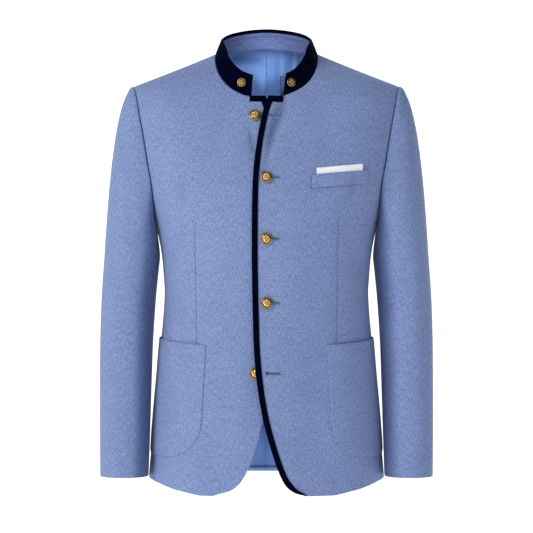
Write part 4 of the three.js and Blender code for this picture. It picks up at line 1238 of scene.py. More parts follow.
def joined_rings(name, rings):
    """Several closed tubes of the same number of steps in one mesh, each last ring joined to the first."""
    rows, columns = rings[0].shape[:2]
    quads, points = [], []
    for ring in rings:
        start = len(points) * rows * columns
        i, j = np.meshgrid(np.arange(rows), np.arange(columns), indexing="ij")
        a, b = i * columns + j, i * columns + (j + 1) % columns
        c, d = ((i + 1) % rows) * columns + (j + 1) % columns, ((i + 1) % rows) * columns + j
        quads.append(start + np.stack([a.ravel(), b.ravel(), c.ravel(), d.ravel()], -1))
        points.append(ring.reshape(-1, 3))
    points, quads = np.concatenate(points), np.concatenate(quads)
    return make_piece(name, points, quads, uv=points[:, [0, 2]])


def thread_material():
    """Twisted buttonhole silk in the cloth's deeper blue."""
    material, tree, shader = new_material("blue_silk_thread", 0.55, Specular_IOR_Level=0.3)
    twist = noise(tree, mapped(tree, cloth_vector(tree), (1600, 1600, 1600)), 1.0, 2.0)
    colour = mixed_colour(tree, twist, (0.13, 0.18, 0.38, 1), (0.22, 0.285, 0.5, 1))
    tree.links.new(colour, shader.inputs["Base Color"])
    bump(tree, shader, twist, 0.5, 0.0003)
    return material


THREAD = thread_material()
dress(joined_rings("buttonhole_thread", hole_threads), THREAD, None)

# %% [markdown]
# ## Sides and back
# The side body is a narrow piece under the arm, and the back has a seam down its centre. Both are plain.

# %% Sides
SIDE_TOP_FADE = 3 * FINE  # rows over which the armhole's curve dies out below it


def side_places():
    """Rows between the two side seams. The top one follows the armhole, and its curve dies out below it."""
    fore = walk(FORE_SEAM_LINE, np.linspace(0, 1, SIDE_STEPS * FINE + 1))
    hind = walk(HIND_SEAM_LINE, np.linspace(0, 1, SIDE_STEPS * FINE + 1))
    rows = panel_places(fore, hind, 26, hem_behind)
    low = np.linspace(FRONT_ARM_STEPS / ARM_STEPS, 1, 60)
    high = np.linspace(1, BACK_ARM_STEPS / ARM_STEPS, 120)
    arc = np.concatenate([walk(ARM_FRONT, low), walk(ARM_BEHIND, high)[1:]])
    length = lengths_along(place_point(rows[0]))
    top = walk(arc, length / length[-1])
    share = np.maximum(0, 1 - np.arange(len(rows)) / SIDE_TOP_FADE)[:, None, None]
    return close_rows(rows + share * (top - rows[0])[None])


SEAM_RIMS = {"left": SEAM_ROLL, "right": SEAM_ROLL, "top": SEAM_ROLL, "bottom": EDGE_ROLL}
SEAM_GAPS = {"left": HAIR, "right": HAIR, "top": HAIR, "bottom": HAIR}
SIDES = (("left", 1), ("right", -1))
sides_at = side_places()
for hand, side in SIDES:
    cloth_panel(f"side_{hand}_cloth", sides_at, no_lift, BODY_CLOTH, ("wool", WOOL), f"side_{hand}", side,
                table=SIDE_CREASES, rims=SEAM_RIMS, gaps=SEAM_GAPS)

# %% Back


def back_places():
    neck = walk(NECK_BEHIND, np.linspace(0, 1, NECK_STEPS * FINE + 1))
    centre_steps = (BACK_ARM_STEPS + SIDE_STEPS - NECK_STEPS) * FINE
    left = np.concatenate([neck[:-1], walk(CENTRE_BACK, np.linspace(0, 1, centre_steps + 1))])
    arm = walk(ARM_BEHIND, np.linspace(0, BACK_ARM_STEPS / ARM_STEPS, BACK_ARM_STEPS * FINE + 1))
    right = np.concatenate([arm, walk(HIND_SEAM_LINE, np.linspace(0, 1, SIDE_STEPS * FINE + 1))[1:]])
    return close_rows(panel_places(left, right, 60, back_hem))


backs_at = back_places()
for hand, side in SIDES:
    cloth_panel(f"back_{hand}_cloth", backs_at, no_lift, BODY_CLOTH, ("wool", WOOL), f"back_{hand}", side,
                table=BACK_CREASES, rims=SEAM_RIMS, gaps=SEAM_GAPS)
print("back:", backs_at.shape)

# %% [markdown]
# ## The lining
# Satin is cut a little larger than the back, so it falls in soft upright folds, with small gathers where
# the collar's seam holds its top edge, and a stitched seam down the centre.

# %% Lining
LINING_GAP = 0.7
# Columns: distance from the centre, height of the fold's middle, its half length, width, height inwards
# (below 0 is a trough). The wearer's left side is gathered, and the right one lies smooth.
LOW_FOLDS = [
    (20, -170, 90, 9, 1.7),
    (52, -190, 110, 10, 2.6),
    (84, -220, 130, 11, 3.0),
    (12, -640, 90, 8, 1.4),
    (30, -620, 110, 9, 2.4),
    (56, -600, 120, 11, 2.6),
    (96, -560, 140, 13, 3.0),
]
LINING_FOLDS = {
    "left": [(8, -30, 60, 5, -0.6), (21, -20, 50, 6, -1.8), (34, -5, 36, 4.5, -2.4), (43, 0, 34, 4, -2.8),
             (54, 0, 32, 4, -3.0), (63, 0, 30, 4, -2.6), (28, 0, 40, 5, 1.6), (49, 0, 34, 3.5, 1.8),
              *LOW_FOLDS],
    "right": [(12, 2, 13, 12, -1.2), (30, 3, 11, 16, -2.6), (50, 2, 12, 13, -2.6), (24, -50, 34, 7, -1.6),
              (10, -42, 30, 6, 1.0), *LOW_FOLDS],
}


def fold_heights(hand, points):
    """Folds: height · exp(-(distance / width)²) · a soft fade up and down, and gathers at the neck
    that fade within 25 mm of the top edge."""
    x, z = points[..., 0], points[..., 2]
    wander = 2.0 * np.sin(z / 21.0)
    inward = np.zeros(x.shape)
    for centre, middle, reach, fold_width, height in LINING_FOLDS[hand]:
        fade = np.clip(1 - ((z - middle) / reach) ** 2, 0, 1) ** 1.5
        inward += height * np.exp(-(((x - centre - wander) / fold_width) ** 2)) * fade
    below_neck = rim_distances(points)["top"]
    near_neck = np.exp(-((below_neck / 12) ** 2)) * (below_neck > 0)
    gathers = 0.8 * (0.5 + 0.5 * np.cos(x * 2 * np.pi / 11.5)) * near_neck
    return inward + gathers * (x < 82)


def lining_shape(hand):
    """The folds as a change of the lining's height, faded out at its outer edge. The wool behind stops a
    trough after half a millimetre."""
    return lambda places, points: -0.6 * np.maximum(fold_heights(hand, points), -0.8) * smoothstep(
        rim_distances(points)["right"], 0, 12)


def lining_shade(hand):
    """The folds' heights for the colour, lowered further down, where little light comes."""
    def shade(points):
        down = -points[..., 2]
        return fold_heights(hand, points) - 2.9 * smoothstep(down, 18, 52) + 1.4 * smoothstep(down, 622, 662)
    return shade


def centre_seam(points):
    return points[..., 0], -points[..., 2]


LINING_RIMS = {"left": 0.05, "right": 0.25, "top": 0.3, "bottom": 0.4}
for hand, side in SIDES:
    cloth_panel(f"back_lining_{hand}_cloth", backs_at, no_lift, LINING_CLOTH, ("satin", SATIN),
                f"back_lining_{hand}", side, off=-BODY_CLOTH - LINING_GAP, rims=LINING_RIMS,
                shape=lining_shape(hand), lines=centre_seam, fold=lining_shade(hand),
                gaps={"left": 0.02, "right": 1.5, "top": 1.2, "bottom": 9}, width=1.6)

# %% [markdown]
# ## Sleeves
# A sleeve starts square to the armhole, stands out over its head, and turns down into an arm that hangs
# slightly forward. It is a Hermite-like blend between the armhole and the first ring, and rings below
# that. The turn is 0 at the shoulder, then runs by the front, the underarm and the back.

# %% The sleeve's surface
SEAM_GAP = 0.5
FORE_SEAM = 10
HIND_SEAM = 8
SLEEVE_ROWS = padded_table(SLEEVE)


def signed_power(value, power):
    return np.sign(value) * np.abs(value) ** power


def armhole_place(turn):
    share = np.mod(turn / np.pi + 2, 2)
    front = walk(ARM_FRONT, np.clip(share, 0, 1).ravel()).reshape(share.shape + (2,))
    behind = walk(ARM_BEHIND, np.clip(2 - share, 0, 1).ravel()).reshape(share.shape + (2,))
    return np.where((share <= 1)[..., None], front, behind)


def sleeve_ring(turn, z):
    """A super-ellipse between the inner and outer edge, and round the centre line's depth."""
    at = solve(np.full(z.shape, -0.5), np.full(z.shape, len(SLEEVE) - 1.0),
               lambda t: row_at(SLEEVE_ROWS, t)[..., 0] > z)
    _, inner, outer, centre, deep = np.moveaxis(row_at(SLEEVE_ROWS, at), -1, 0)
    power = 2 / SLEEVE_SQUARENESS
    x = (outer + inner) / 2 + (outer - inner) / 2 * signed_power(np.cos(turn), power)
    return np.stack([x, centre - deep * signed_power(np.sin(turn), power), z], -1)


def cap_tangent(turn):
    up = (1 + np.cos(turn)) / 2
    return unit(np.stack([0.12 + 0.82 * up ** 1.2, -0.3 * np.sin(turn), -1 + 0.66 * up ** 1.5], -1))


def sleeve_point(turn, along):
    """Along runs from 0 at the armhole to 1 at the first ring, and on to 2 at the cuff."""
    top, cuff = SLEEVE[0, 0], SLEEVE[-1, 0]
    ring = sleeve_ring(turn, lerp(top, cuff, np.maximum(0, along - 1)))
    start = armhole_place(turn)
    out = cap_tangent(turn)
    begin = place_point(start) + (body_normal(start[..., 0], start[..., 1]) + out) * SEAM_GAP
    end = sleeve_ring(turn, np.full(turn.shape, top))
    length = np.linalg.norm(end - begin, axis=-1)[..., None]
    step = 6.0
    falls = (sleeve_ring(turn, np.full(turn.shape, top - step)) - end) * length / step
    t = np.clip(along, 0, 1)[..., None]
    blend = t * t * (3 - 2 * t)
    leaves = out * CAP_REACH * length * t * (1 - t) ** 2
    head = begin * (1 - blend) + end * blend + leaves - falls * t * t * (1 - t)
    return np.where((along > 1)[..., None], ring, head)


def grid_normals(points, flip=1):
    """The cross product of the grid's steps down and across."""
    return unit(np.cross(np.gradient(points, axis=0), np.gradient(points, axis=1))) * flip


# %% Creases of a sleeve
# Columns: turn, height, turn, height, width in mm round the sleeve, height
SLEEVE_CREASES = [
    (2.35, -250, 1.75, -335, 14, -2.2),
    (2.75, -270, 1.95, -372, 13, 1.6),
    (2.5, -395, 1.2, -352, 11, -1.5),
    (2.8, -430, 1.5, -405, 11, -1.7),
    (2.9, -455, 1.7, -450, 11, 1.3),
    (3.4, -400, 4.6, -360, 12, -1.3),
    (3.3, -440, 4.3, -425, 12, 1.2),
    (0.9, -180, 1.15, -330, 22, -0.9),
    (0.35, -330, 0.5, -560, 26, 0.9),
    (1.3, -520, 1.9, -640, 16, -1.0),
    (5.2, -190, 5.5, -340, 24, -1.0),
]
ARM_RADIUS = 52.0


def sleeve_folds(turn, points):
    """The crease field over (turn times the arm's radius, height)."""
    table = [(a * ARM_RADIUS, z0, b * ARM_RADIUS, z1, w, h) for a, z0, b, z1, w, h in SLEEVE_CREASES]
    return sum(creases((turn + 2 * np.pi * k) * ARM_RADIUS, points[..., 2], table) for k in (0, 1))


# %% Sleeve pieces
SLEEVE_FINE = 6
HEAD_ROWS = np.concatenate([[0, 0.003, 0.007, 0.013, 0.02], np.linspace(0.035, 1, 34)])
ARM_ROWS = np.concatenate([np.linspace(1, 2, 78)[1:-1], [1.9935, 1.9965, 1.9985, 2.0]])


def sleeve_piece(name, node, from_step, to_step, side):
    """A sleeve's wall between two steps round the armhole, each a twelfth of a half turn: the surface with
    its creases, rolled rims, and a ridge beside the shoulder seam where the head is eased in."""
    steps = (to_step - from_step) * SLEEVE_FINE
    even = np.linspace(from_step, to_step, steps + 1)
    near = np.array([0.035, 0.09, 0.17, 0.3])
    turns = np.unique(np.concatenate([even, from_step + near, to_step - near])) * np.pi / ARM_STEPS
    alongs = np.concatenate([HEAD_ROWS, ARM_ROWS])
    along, turn_grid = np.meshgrid(alongs, turns, indexing="ij")
    surface = sleeve_point(turn_grid, along)
    normal = grid_normals(surface, -1)
    distances = rim_distances(surface)
    soft = sleeve_folds(turn_grid, surface) * smoothstep(distances["top"], 5, 40)
    soft *= smoothstep(distances["bottom"], 0, 60)
    roll = rolled(distances, {"left": SEAM_ROLL, "right": SEAM_ROLL, "bottom": EDGE_ROLL})
    roping = 1.1 * np.exp(-((distances["top"] - 7) / 6) ** 2) * np.maximum(0, np.cos(turn_grid)) ** 2
    roll_in = rolled(distances, {"top": 0.9}, 3.0)
    outer = surface + normal * (soft + roping - roll - roll_in)[..., None]
    inner = surface + normal * (soft - SLEEVE_CLOTH + 0.5 * roll)[..., None]
    gaps = {"left": HAIR, "right": HAIR}
    outer, inner = drawn_back(outer, gaps), drawn_back(inner, gaps)
    uv = np.stack([turn_grid * ARM_RADIUS, distances["top"]], -1)
    to_body = smoothstep(-normal[..., 0], 0.3, 0.95) * smoothstep(-surface[..., 2], 90, 190)
    shaded = -1.1 - 1.9 * to_body  # little light comes between the sleeve and the body
    # Painted shade, not a crease: the value fold carries it into the wool's colour
    values = {"seam": np.full(shaded.shape, NO_LINE), "along": uv[..., 0], "fold": shaded}
    made = wall_piece(name, outer, inner, uv, values, side)
    return dress(made, WOOL, node)


for hand, side in SIDES:
    sleeve_piece(f"top_sleeve_{hand}_cloth", f"top_sleeve_{hand}", -HIND_SEAM, FORE_SEAM, side)
    sleeve_piece(f"under_sleeve_{hand}_cloth", f"under_sleeve_{hand}", FORE_SEAM, 2 * ARM_STEPS - HIND_SEAM,
                 side)
print("sleeves done")

# %% [markdown]
# ## The collar
# A standing band on the neckline: velvet outside, folded over the top edge, and wool inside. At each
# station along the neck the band has its own lean: nearly upright in front and behind, and leaning
# in at the sides, where the neck is narrower than the neckline.

# %% The collar's line and lean
COLLAR_HEIGHT = 37
# Columns: how far behind the shoulder seam the neckline is, and the band's height there
COLLAR_HEIGHTS = np.array([
    (-76, 37.8), (-70.5, 37.8), (-66, 41.5), (-60, 43), (-50, 42), (-36, 39.5), (-20, 35), (0, 27),
    (25, 27.3), (45, 30), (58, 31.5), (70, 30.5),
])
COLLAR_FOOT = 0.7
COLLAR_HANGS = 3
COLLAR_LAYER_GAP = 0.6
COLLAR_OUTER_CLOTH = 1.6
COLLAR_INNER_CLOTH = 1.3
COLLAR_FOLD = 6.8
COLLAR_ROUND = 0.5
LEAN_FRONT, LEAN_SIDE, LEAN_BACK = 0.14, 0.38, 0.1
RIGHT_END = {"runs": 2.8, "leans": 1.4, "clears": 1.2}
LEFT_END = {"clears": 1.8, "fold_lowers": 5.4}
OUTER_END, INNER_END = (0.5, 7), (4.8, 0)  # how far the left end runs on, and how far its top is cut back
COLLAR_STATIONS = 15 * 2 * FINE
SLANT_STATIONS = 12  # over which the ends' slants fade in
CLEAR_STATIONS = 3  # at each end, where the band clears the binding
HANGS_BEHIND = (8, 48)  # how far back the inner cloth starts to hang below the seam, and hangs in full

neck_left = np.concatenate([place_point(NECK_BEHIND)[::-1], place_point(NECK_FRONT)[1:]])
neck_right = neck_left[1:][::-1] * (-1, 1, 1)
neck_ring = np.concatenate([neck_right, neck_left])
ring_length = lengths_along(neck_ring)
ring_goal = np.linspace(0, ring_length[-1], COLLAR_STATIONS)
COLLAR_LINE = at_lengths(ring_goal, ring_length, neck_ring)


def softened(line, passes):
    """Each inner point moved halfway to the middle of its neighbours, several times."""
    line = line.copy()
    for _ in range(passes):
        line[1:-1] = 0.5 * line[1:-1] + 0.25 * (line[:-2] + line[2:])
    return line


COLLAR_ALONG = unit(np.gradient(softened(COLLAR_LINE, 12), axis=0))
heights = np.interp(COLLAR_LINE[:, 1], COLLAR_HEIGHTS[:, 0], COLLAR_HEIGHTS[:, 1])
COLLAR_STRETCH = softened(heights, 40) / COLLAR_HEIGHT
outward = unit(np.stack([COLLAR_ALONG[:, 1], -COLLAR_ALONG[:, 0], np.zeros(COLLAR_STATIONS)], -1))
outward *= np.where(np.sum(outward[:, :2] * COLLAR_LINE[:, :2], -1) < 0, -1, 1)[:, None]
lean = lerp(np.where(outward[:, 1] < 0, LEAN_FRONT, LEAN_BACK), LEAN_SIDE, 1 - outward[:, 1] ** 2)
COLLAR_UP = np.stack([-np.sin(lean) * outward[:, 0], -np.sin(lean) * outward[:, 1], np.cos(lean)], -1)
COLLAR_OUT = np.stack([np.cos(lean) * outward[:, 0], np.cos(lean) * outward[:, 1], np.sin(lean)], -1)


def collar_station(depth, height, back):
    """The band's points: foot + up · height - out · depth - along · back, at every station at once."""
    up = COLLAR_UP[:, None] * (SEAM_GAP + height)[..., None]
    inwards = COLLAR_OUT[:, None] * depth[..., None]
    return COLLAR_LINE[:, None] + up - inwards - COLLAR_ALONG[:, None] * back[..., None]


def rounded_section(corners, radii, steps=5):
    """A closed outline whose corners are rounded: each is replaced by a quadratic arc of its radius."""
    out = []
    n = len(corners)
    for k, (corner, radius) in enumerate(zip(corners, radii)):
        corner = np.array(corner, float)
        before, after = np.array(corners[k - 1], float), np.array(corners[(k + 1) % n], float)
        if radius == 0:
            out.append(corner)
            continue
        a = corner + (before - corner) / np.linalg.norm(before - corner) * radius
        b = corner + (after - corner) / np.linalg.norm(after - corner) * radius
        for t in np.linspace(0, 1, steps):
            out.append(a * (1 - t) ** 2 + 2 * corner * t * (1 - t) + b * t * t)
    return np.array(out)


def collar_band(name, node, slot_and_material, section, left_end):
    """A section of (depth, height) at every station. The right end leans out and the left one runs on, and
    there the fold gets lower, so that the inner cloth comes up to the top edge."""
    stations = np.arange(COLLAR_STATIONS)[:, None]
    depth = np.broadcast_to(section[None, :, 0], (COLLAR_STATIONS, len(section)))
    height = np.broadcast_to(section[None, :, 1], depth.shape)
    hangs = smoothstep(COLLAR_LINE[:, 1:2], *HANGS_BEHIND)
    height = np.where(height < 0, lerp(2 * COLLAR_FOOT, height, hangs), height * COLLAR_STRETCH[:, None])
    per_station = ring_length[-1] / (COLLAR_STATIONS - 1)
    from_left = COLLAR_STATIONS - 1 - stations
    to_right = np.clip(1 - stations / SLANT_STATIONS, 0, 1)
    to_left = np.clip(1 - from_left / SLANT_STATIONS, 0, 1)
    right_back = RIGHT_END["leans"] * height / COLLAR_HEIGHT + RIGHT_END["runs"]
    left_back = left_end[1] * height / COLLAR_HEIGHT - left_end[0]
    back = to_right * right_back + to_left * left_back
    raised = np.where(stations < CLEAR_STATIONS, np.maximum(height, RIGHT_END["clears"]), height)
    raised = np.where(from_left < CLEAR_STATIONS, np.maximum(height, LEFT_END["clears"]), raised)
    is_fold = (section[:, 1] > COLLAR_HEIGHT / 2 + 1) & (section[:, 1] < fold_end + 1)
    raised = raised + to_left * LEFT_END["fold_lowers"] * is_fold
    points = collar_station(depth, raised, back)
    around = lengths_along(section)
    uv = np.stack(np.broadcast_arrays(stations * per_station, around[None]), -1)
    values = {"seam": np.broadcast_to(section[None, :, 1] - STAY_STITCH, depth.shape), "along": uv[..., 0]}
    made = swept_piece(name, points, uv, values=values)
    slot, material = slot_and_material
    return dress(made, material, node)


STAY_STITCH = 22  # height of the stitched line inside the collar
inner_starts = COLLAR_OUTER_CLOTH + COLLAR_LAYER_GAP
collar_thick = inner_starts + COLLAR_INNER_CLOTH
fold_end = COLLAR_HEIGHT - COLLAR_FOLD
outer_section = rounded_section(
    [(0, 0), (-COLLAR_ROUND, COLLAR_HEIGHT / 2), (0, COLLAR_HEIGHT), (collar_thick, COLLAR_HEIGHT),
     (collar_thick, fold_end), (COLLAR_OUTER_CLOTH, fold_end), (COLLAR_OUTER_CLOTH, COLLAR_FOOT)],
    [0.5, 12, 1.5, 1.5, 0.5, 0, 0.2])
inner_section = rounded_section(
    [(inner_starts, fold_end - COLLAR_LAYER_GAP), (inner_starts, -COLLAR_HANGS),
     (collar_thick, -COLLAR_HANGS),
     (collar_thick, fold_end - COLLAR_LAYER_GAP)],
    [0.3, 0.4, 0.4, 0.4])
collar_band("collar_velvet", "collar_outer", ("velvet", VELVET), outer_section, OUTER_END)
collar_band("collar_inside", "collar_inner", ("collar_wool", COLLAR_WOOL), inner_section, INNER_END)

# %% [markdown]
# ## Bindings
# A bias strip of velvet is folded round the front's edge: along the neck's notch, down the opening and, on
# the wearer's left, round the cutaway until it thins out on the hem. Its corner at the neck is mitred.

# %% Bindings
BINDING_WIDTH = 8.4
BINDING_CLOTH = 0.9
BINDING_CLEAR = 0.35
LAID_GAP = 0.45
UNDERLAP_BINDING_END = -200


def binding(name, node, table, lift, end_z, side, crease_table):
    """A rounded section round the front's edge at each of its points, down to a height. It is mitred at the
    neck's corner, and on the hem its width runs out over the last points."""
    edge = np.concatenate([walk(NECK_FRONT, [1.0]), front_edge(table)])
    points = place_point(edge)
    path = points[points[:, 2] > end_z][:, [0, 2]]
    path[0, 0] -= SEAM_GAP
    corner = 2 * FINE
    before = np.vstack([path[:1], path[:-1]])
    after = np.vstack([path[1:], path[-1:]])
    along = unit(after - before)
    along[:corner] = (-1, 0)
    along[corner] = unit(path[corner + 1] - path[corner])
    square = np.stack([-along[:, 1], along[:, 0]], -1)
    corner_square = square[corner]
    inwards = square.copy()
    inwards[corner] = np.array([corner_square[0], corner_square[1] - 1]) / (1 - corner_square[1])
    to_end = (len(path) - 1 - np.arange(len(path))) / FINE
    share = np.minimum(1, 0.15 + 0.5 * to_end) if end_z < FRONT_HEM[0, 1] else np.ones(len(path))
    high = LAID_GAP + BINDING_CLOTH
    fold = -BINDING_CLEAR - BINDING_CLOTH
    section = rounded_section(
        [(1.0, high), (fold, high), (fold, -BODY_CLOTH), (-BINDING_CLEAR, -BODY_CLOTH),
         (-BINDING_CLEAR, LAID_GAP),
         (1.0, LAID_GAP - 0.3)],
        [0.09, 0.75, 0.4, 0.1, 0, 0])
    wide = np.where(section[:, 0] > 0, section[:, 0] * BINDING_WIDTH, section[:, 0])
    inward = wide[None] * share[:, None]
    x = path[:, None, 0] + inwards[:, None, 0] * inward
    z = path[:, None, 1] + inwards[:, None, 1] * inward
    places = front_place(x, z)
    surface, normal = place_point(places), body_normal(places[..., 0], places[..., 1])
    crown = 0.35 * np.sin(np.pi * np.clip(inward / BINDING_WIDTH, 0, 1)) * (section[None, :, 1] > LAID_GAP)
    soft = creases(surface[..., 0], surface[..., 2], crease_table)
    off = lift(surface[..., 0], surface[..., 2]) + section[None, :, 1] + crown + soft
    stations = surface + normal * off[..., None]
    length, around = lengths_along(path), lengths_along(stations[4 * FINE])
    uv = np.stack(np.broadcast_arrays(length[:, None], around[None]), -1)
    made = swept_piece(name, stations, uv, side)
    return dress(made, VELVET, node)


binding("binding_left_velvet", "binding_left", OVERLAP_EDGE, overlap_lift, FRONT_HEM[0, 1] - 1, 1,
        LEFT_CREASES)
binding("binding_right_velvet", "binding_right", UNDERLAP_EDGE, no_lift, UNDERLAP_BINDING_END, -1,
        RIGHT_CREASES)

# %% [markdown]
# ## Patch pockets
# A patch is a piece of the same wool laid on the front, with round lower corners. It is pressed flat to the
# front at its sides and foot, where it is sewn, and stands off a little across its open mouth.

# %% Patch pockets
PATCH = {"top": -479, "rise": 12, "inner": 97.7, "slant": 0.06, "width": 172, "height": 182, "corner": 58,
         "cloth": 1.8}
POCKET_ROWS, POCKET_COLUMNS = 52, 50
POCKET_EDGE_LIES = 0.15  # above the front, where it is sewn
POCKET_MIDDLE_STANDS = 0.55
POCKET_MOUTH_STANDS = 1.9
POCKET_RISES_WITHIN = 26  # of the sewn edges


def round_walk(x, z, distances):
    """Places on the front and round the side, at one height, at distances from a start."""
    angle = float(front_place(x, z)[0]) + np.linspace(0, 1.4, 90)
    line = np.stack([angle, level_at_height(angle, np.full(90, float(z)))], -1)
    return at_lengths(distances, lengths_along(place_point(line)), line)


def pocket_places():
    """Rows across the pocket: full width above the round corners, and drawn in by a quarter circle below."""
    straight = np.linspace(0, PATCH["height"] - PATCH["corner"], 34)
    turn = np.linspace(0, np.pi / 2, POCKET_ROWS - 33)[1:]
    down = np.concatenate([straight, PATCH["height"] - PATCH["corner"] * (1 - np.sin(turn))])
    pull = np.concatenate([np.zeros(34), PATCH["corner"] * (1 - np.cos(turn))])
    places = []
    for depth, inwards in zip(down, pull):
        width = PATCH["width"] - 2 * inwards
        rim = RIM_STEPS * min(1, width / (4 * RIM_STEPS[-1]))
        across = inwards + np.concatenate(
            [rim, np.linspace(rim[-1], width - rim[-1], POCKET_COLUMNS)[1:-1], width - rim[::-1]])
        start_x, start_z = PATCH["inner"] + PATCH["slant"] * depth, PATCH["top"] - depth
        row = round_walk(start_x, start_z, across)
        share = (PATCH["height"] - depth) / PATCH["height"]
        rise = PATCH["rise"] * across / PATCH["width"] * share
        z = place_point(row)[:, 2] + rise
        places.append(np.stack([row[:, 0], level_at_height(row[:, 0], z)], -1))
    return close_rows(np.stack(places))


def sewn_distance(ways):
    """The distance to the nearest sewn edge: a side or the foot."""
    return np.minimum(np.minimum(ways["left"], ways["right"]), ways["bottom"])


def pocket_shape(places, points):
    """Pressed flat at the sewn edges, rising within 26 mm, and standing off most behind the mouth."""
    ways = rim_distances(points)
    middle = smoothstep(sewn_distance(ways), 0, POCKET_RISES_WITHIN)
    near_mouth = np.exp(-((ways["top"] / 45) ** 2))
    rise = POCKET_MIDDLE_STANDS + (POCKET_MOUTH_STANDS - POCKET_MIDDLE_STANDS) * near_mouth
    return POCKET_EDGE_LIES + rise * middle


pockets_at = pocket_places()
for hand, side, lift, table in (("left", 1, overlap_lift, LEFT_CREASES),
                                ("right", -1, no_lift, RIGHT_CREASES)):
    cloth_panel(f"patch_pocket_{hand}_cloth", pockets_at, lift, PATCH["cloth"], ("wool", WOOL),
                f"patch_pocket_{hand}", side, off=PATCH["cloth"], table=table, shape=pocket_shape,
                rims={"left": 0.85, "right": 0.85, "bottom": 0.85, "top": 0.5}, width=2.2)

# %% [markdown]
# ## The chest pocket
# A slanted welt, folded along its top and stitched down at its ends and foot, with a white square that
# stands up behind it in a straight fold.

# %% Welt and square
WELT = {"left": 71.5, "bottom": -226, "width": 100, "height": 23, "rise": 0.1, "cloth": 1.8, "stand": 1.5,
        "stitched": 0.6}
SQUARE = {"inset": 10, "width": 80, "show": 10.5, "tuck": 12, "cloth": 1.5}


def chest_places(across_from, across_to, up_from, up_to, columns, rows):
    """A slanted rectangle on the chest, its rows from the top down."""
    across = np.concatenate([[0, 0.004, 0.01, 0.02], np.linspace(0.03, 0.97, columns),
                             [0.98, 0.99, 0.996, 1]])
    up = 1 - np.concatenate([[0, 0.02, 0.045, 0.08], np.linspace(0.12, 0.88, rows), [0.92, 0.955, 0.98, 1]])
    u, v = np.meshgrid(lerp(across_from, across_to, across), lerp(up_from, up_to, up))
    return front_place(WELT["left"] + u * 0.95, WELT["bottom"] + WELT["rise"] * u + v)


def welt_shape(places, points):
    """Low at the foot and the ends, where it is sewn, and off the chest at its folded top."""
    ways = rim_distances(points)
    ends = smoothstep(np.minimum(ways["left"], ways["right"]), 0, 7)
    return 0.15 + WELT["stand"] * smoothstep(ways["bottom"], 0, 14) * (0.35 + 0.65 * ends)


def welt_line(points):
    """The stitching that holds the welt's ends and its foot."""
    ways = rim_distances(points)
    return sewn_distance(ways) - WELT["stitched"], points[..., 0] + points[..., 2]


cloth_panel("chest_welt_cloth", chest_places(0, WELT["width"], 0, WELT["height"], 46, 14), overlap_lift,
            WELT["cloth"], ("wool", WOOL), "chest_welt", off=WELT["cloth"], table=LEFT_CREASES,
            shape=welt_shape, lines=welt_line,
            rims={"left": 0.7, "right": 0.7, "bottom": 0.8, "top": 0.5}, width=1.6)
square_at = chest_places(SQUARE["inset"], SQUARE["inset"] + SQUARE["width"], WELT["height"] - SQUARE["tuck"],
                         WELT["height"] + SQUARE["show"], 40, 12)
cloth_panel("pocket_square_linen", square_at, overlap_lift, SQUARE["cloth"], ("linen", LINEN),
            "pocket_square",
            off=SQUARE["cloth"] + 0.15, table=LEFT_CREASES,
            shape=lambda places, points: 0.25 * np.sin(points[..., 0] / 9.0),
            rims={"left": 0.5, "right": 0.5, "top": 0.6, "bottom": 0.4}, width=1.4)

# %% [markdown]
# ## Buttons
# Stamped metal shank buttons. The face is a height over (radius, turn): a domed shield, a corded rim, a
# ring of pearls and a plain rosette of leaves. The back is flat with a shank. The relief's height is
# also kept as a value on the points, so that shade can be painted into the hollows.

# %% A button's relief
FRONT_BUTTON = {"radius": 10, "dome": 4.6, "shank": 1.6, "leaves": 8, "pearls": 30}
COLLAR_BUTTON = {"radius": 7.4, "dome": 3.6, "shank": 1.4, "leaves": 6, "pearls": 24}
BUTTON_TURNS = 120
BUTTON_RINGS = 44
RIM_RINGS = 7


def button_relief(share, turn, button):
    """Height over the dome, in millimetres: cords on the rim, pearls, and leaves that taper outwards."""
    def bell(value, centre, width):
        return np.exp(-(((value - centre) / width) ** 2))
    cords = 0.28 * bell(share, 0.93, 0.045) * (0.75 + 0.25 * np.cos(44 * turn + 30 * share))
    pearls = 0.32 * bell(share, 0.79, 0.035) * (0.5 + 0.5 * np.cos(button["pearls"] * turn))
    leaf = np.abs(np.cos(button["leaves"] * turn / 2)) ** 1.4
    leaves = 0.62 * leaf * smoothstep(share, 0.1, 0.34) * (1 - smoothstep(share, 0.48, 0.68))
    vein = -0.22 * bell(np.abs(np.sin(button["leaves"] * turn / 2)), 0, 0.2) * bell(share, 0.42, 0.14)
    core = 0.6 * bell(share, 0, 0.13)
    groove = -0.3 * bell(share, 0.2, 0.05) - 0.25 * bell(share, 0.7, 0.04)
    return cords + pearls + leaves + vein + core + groove


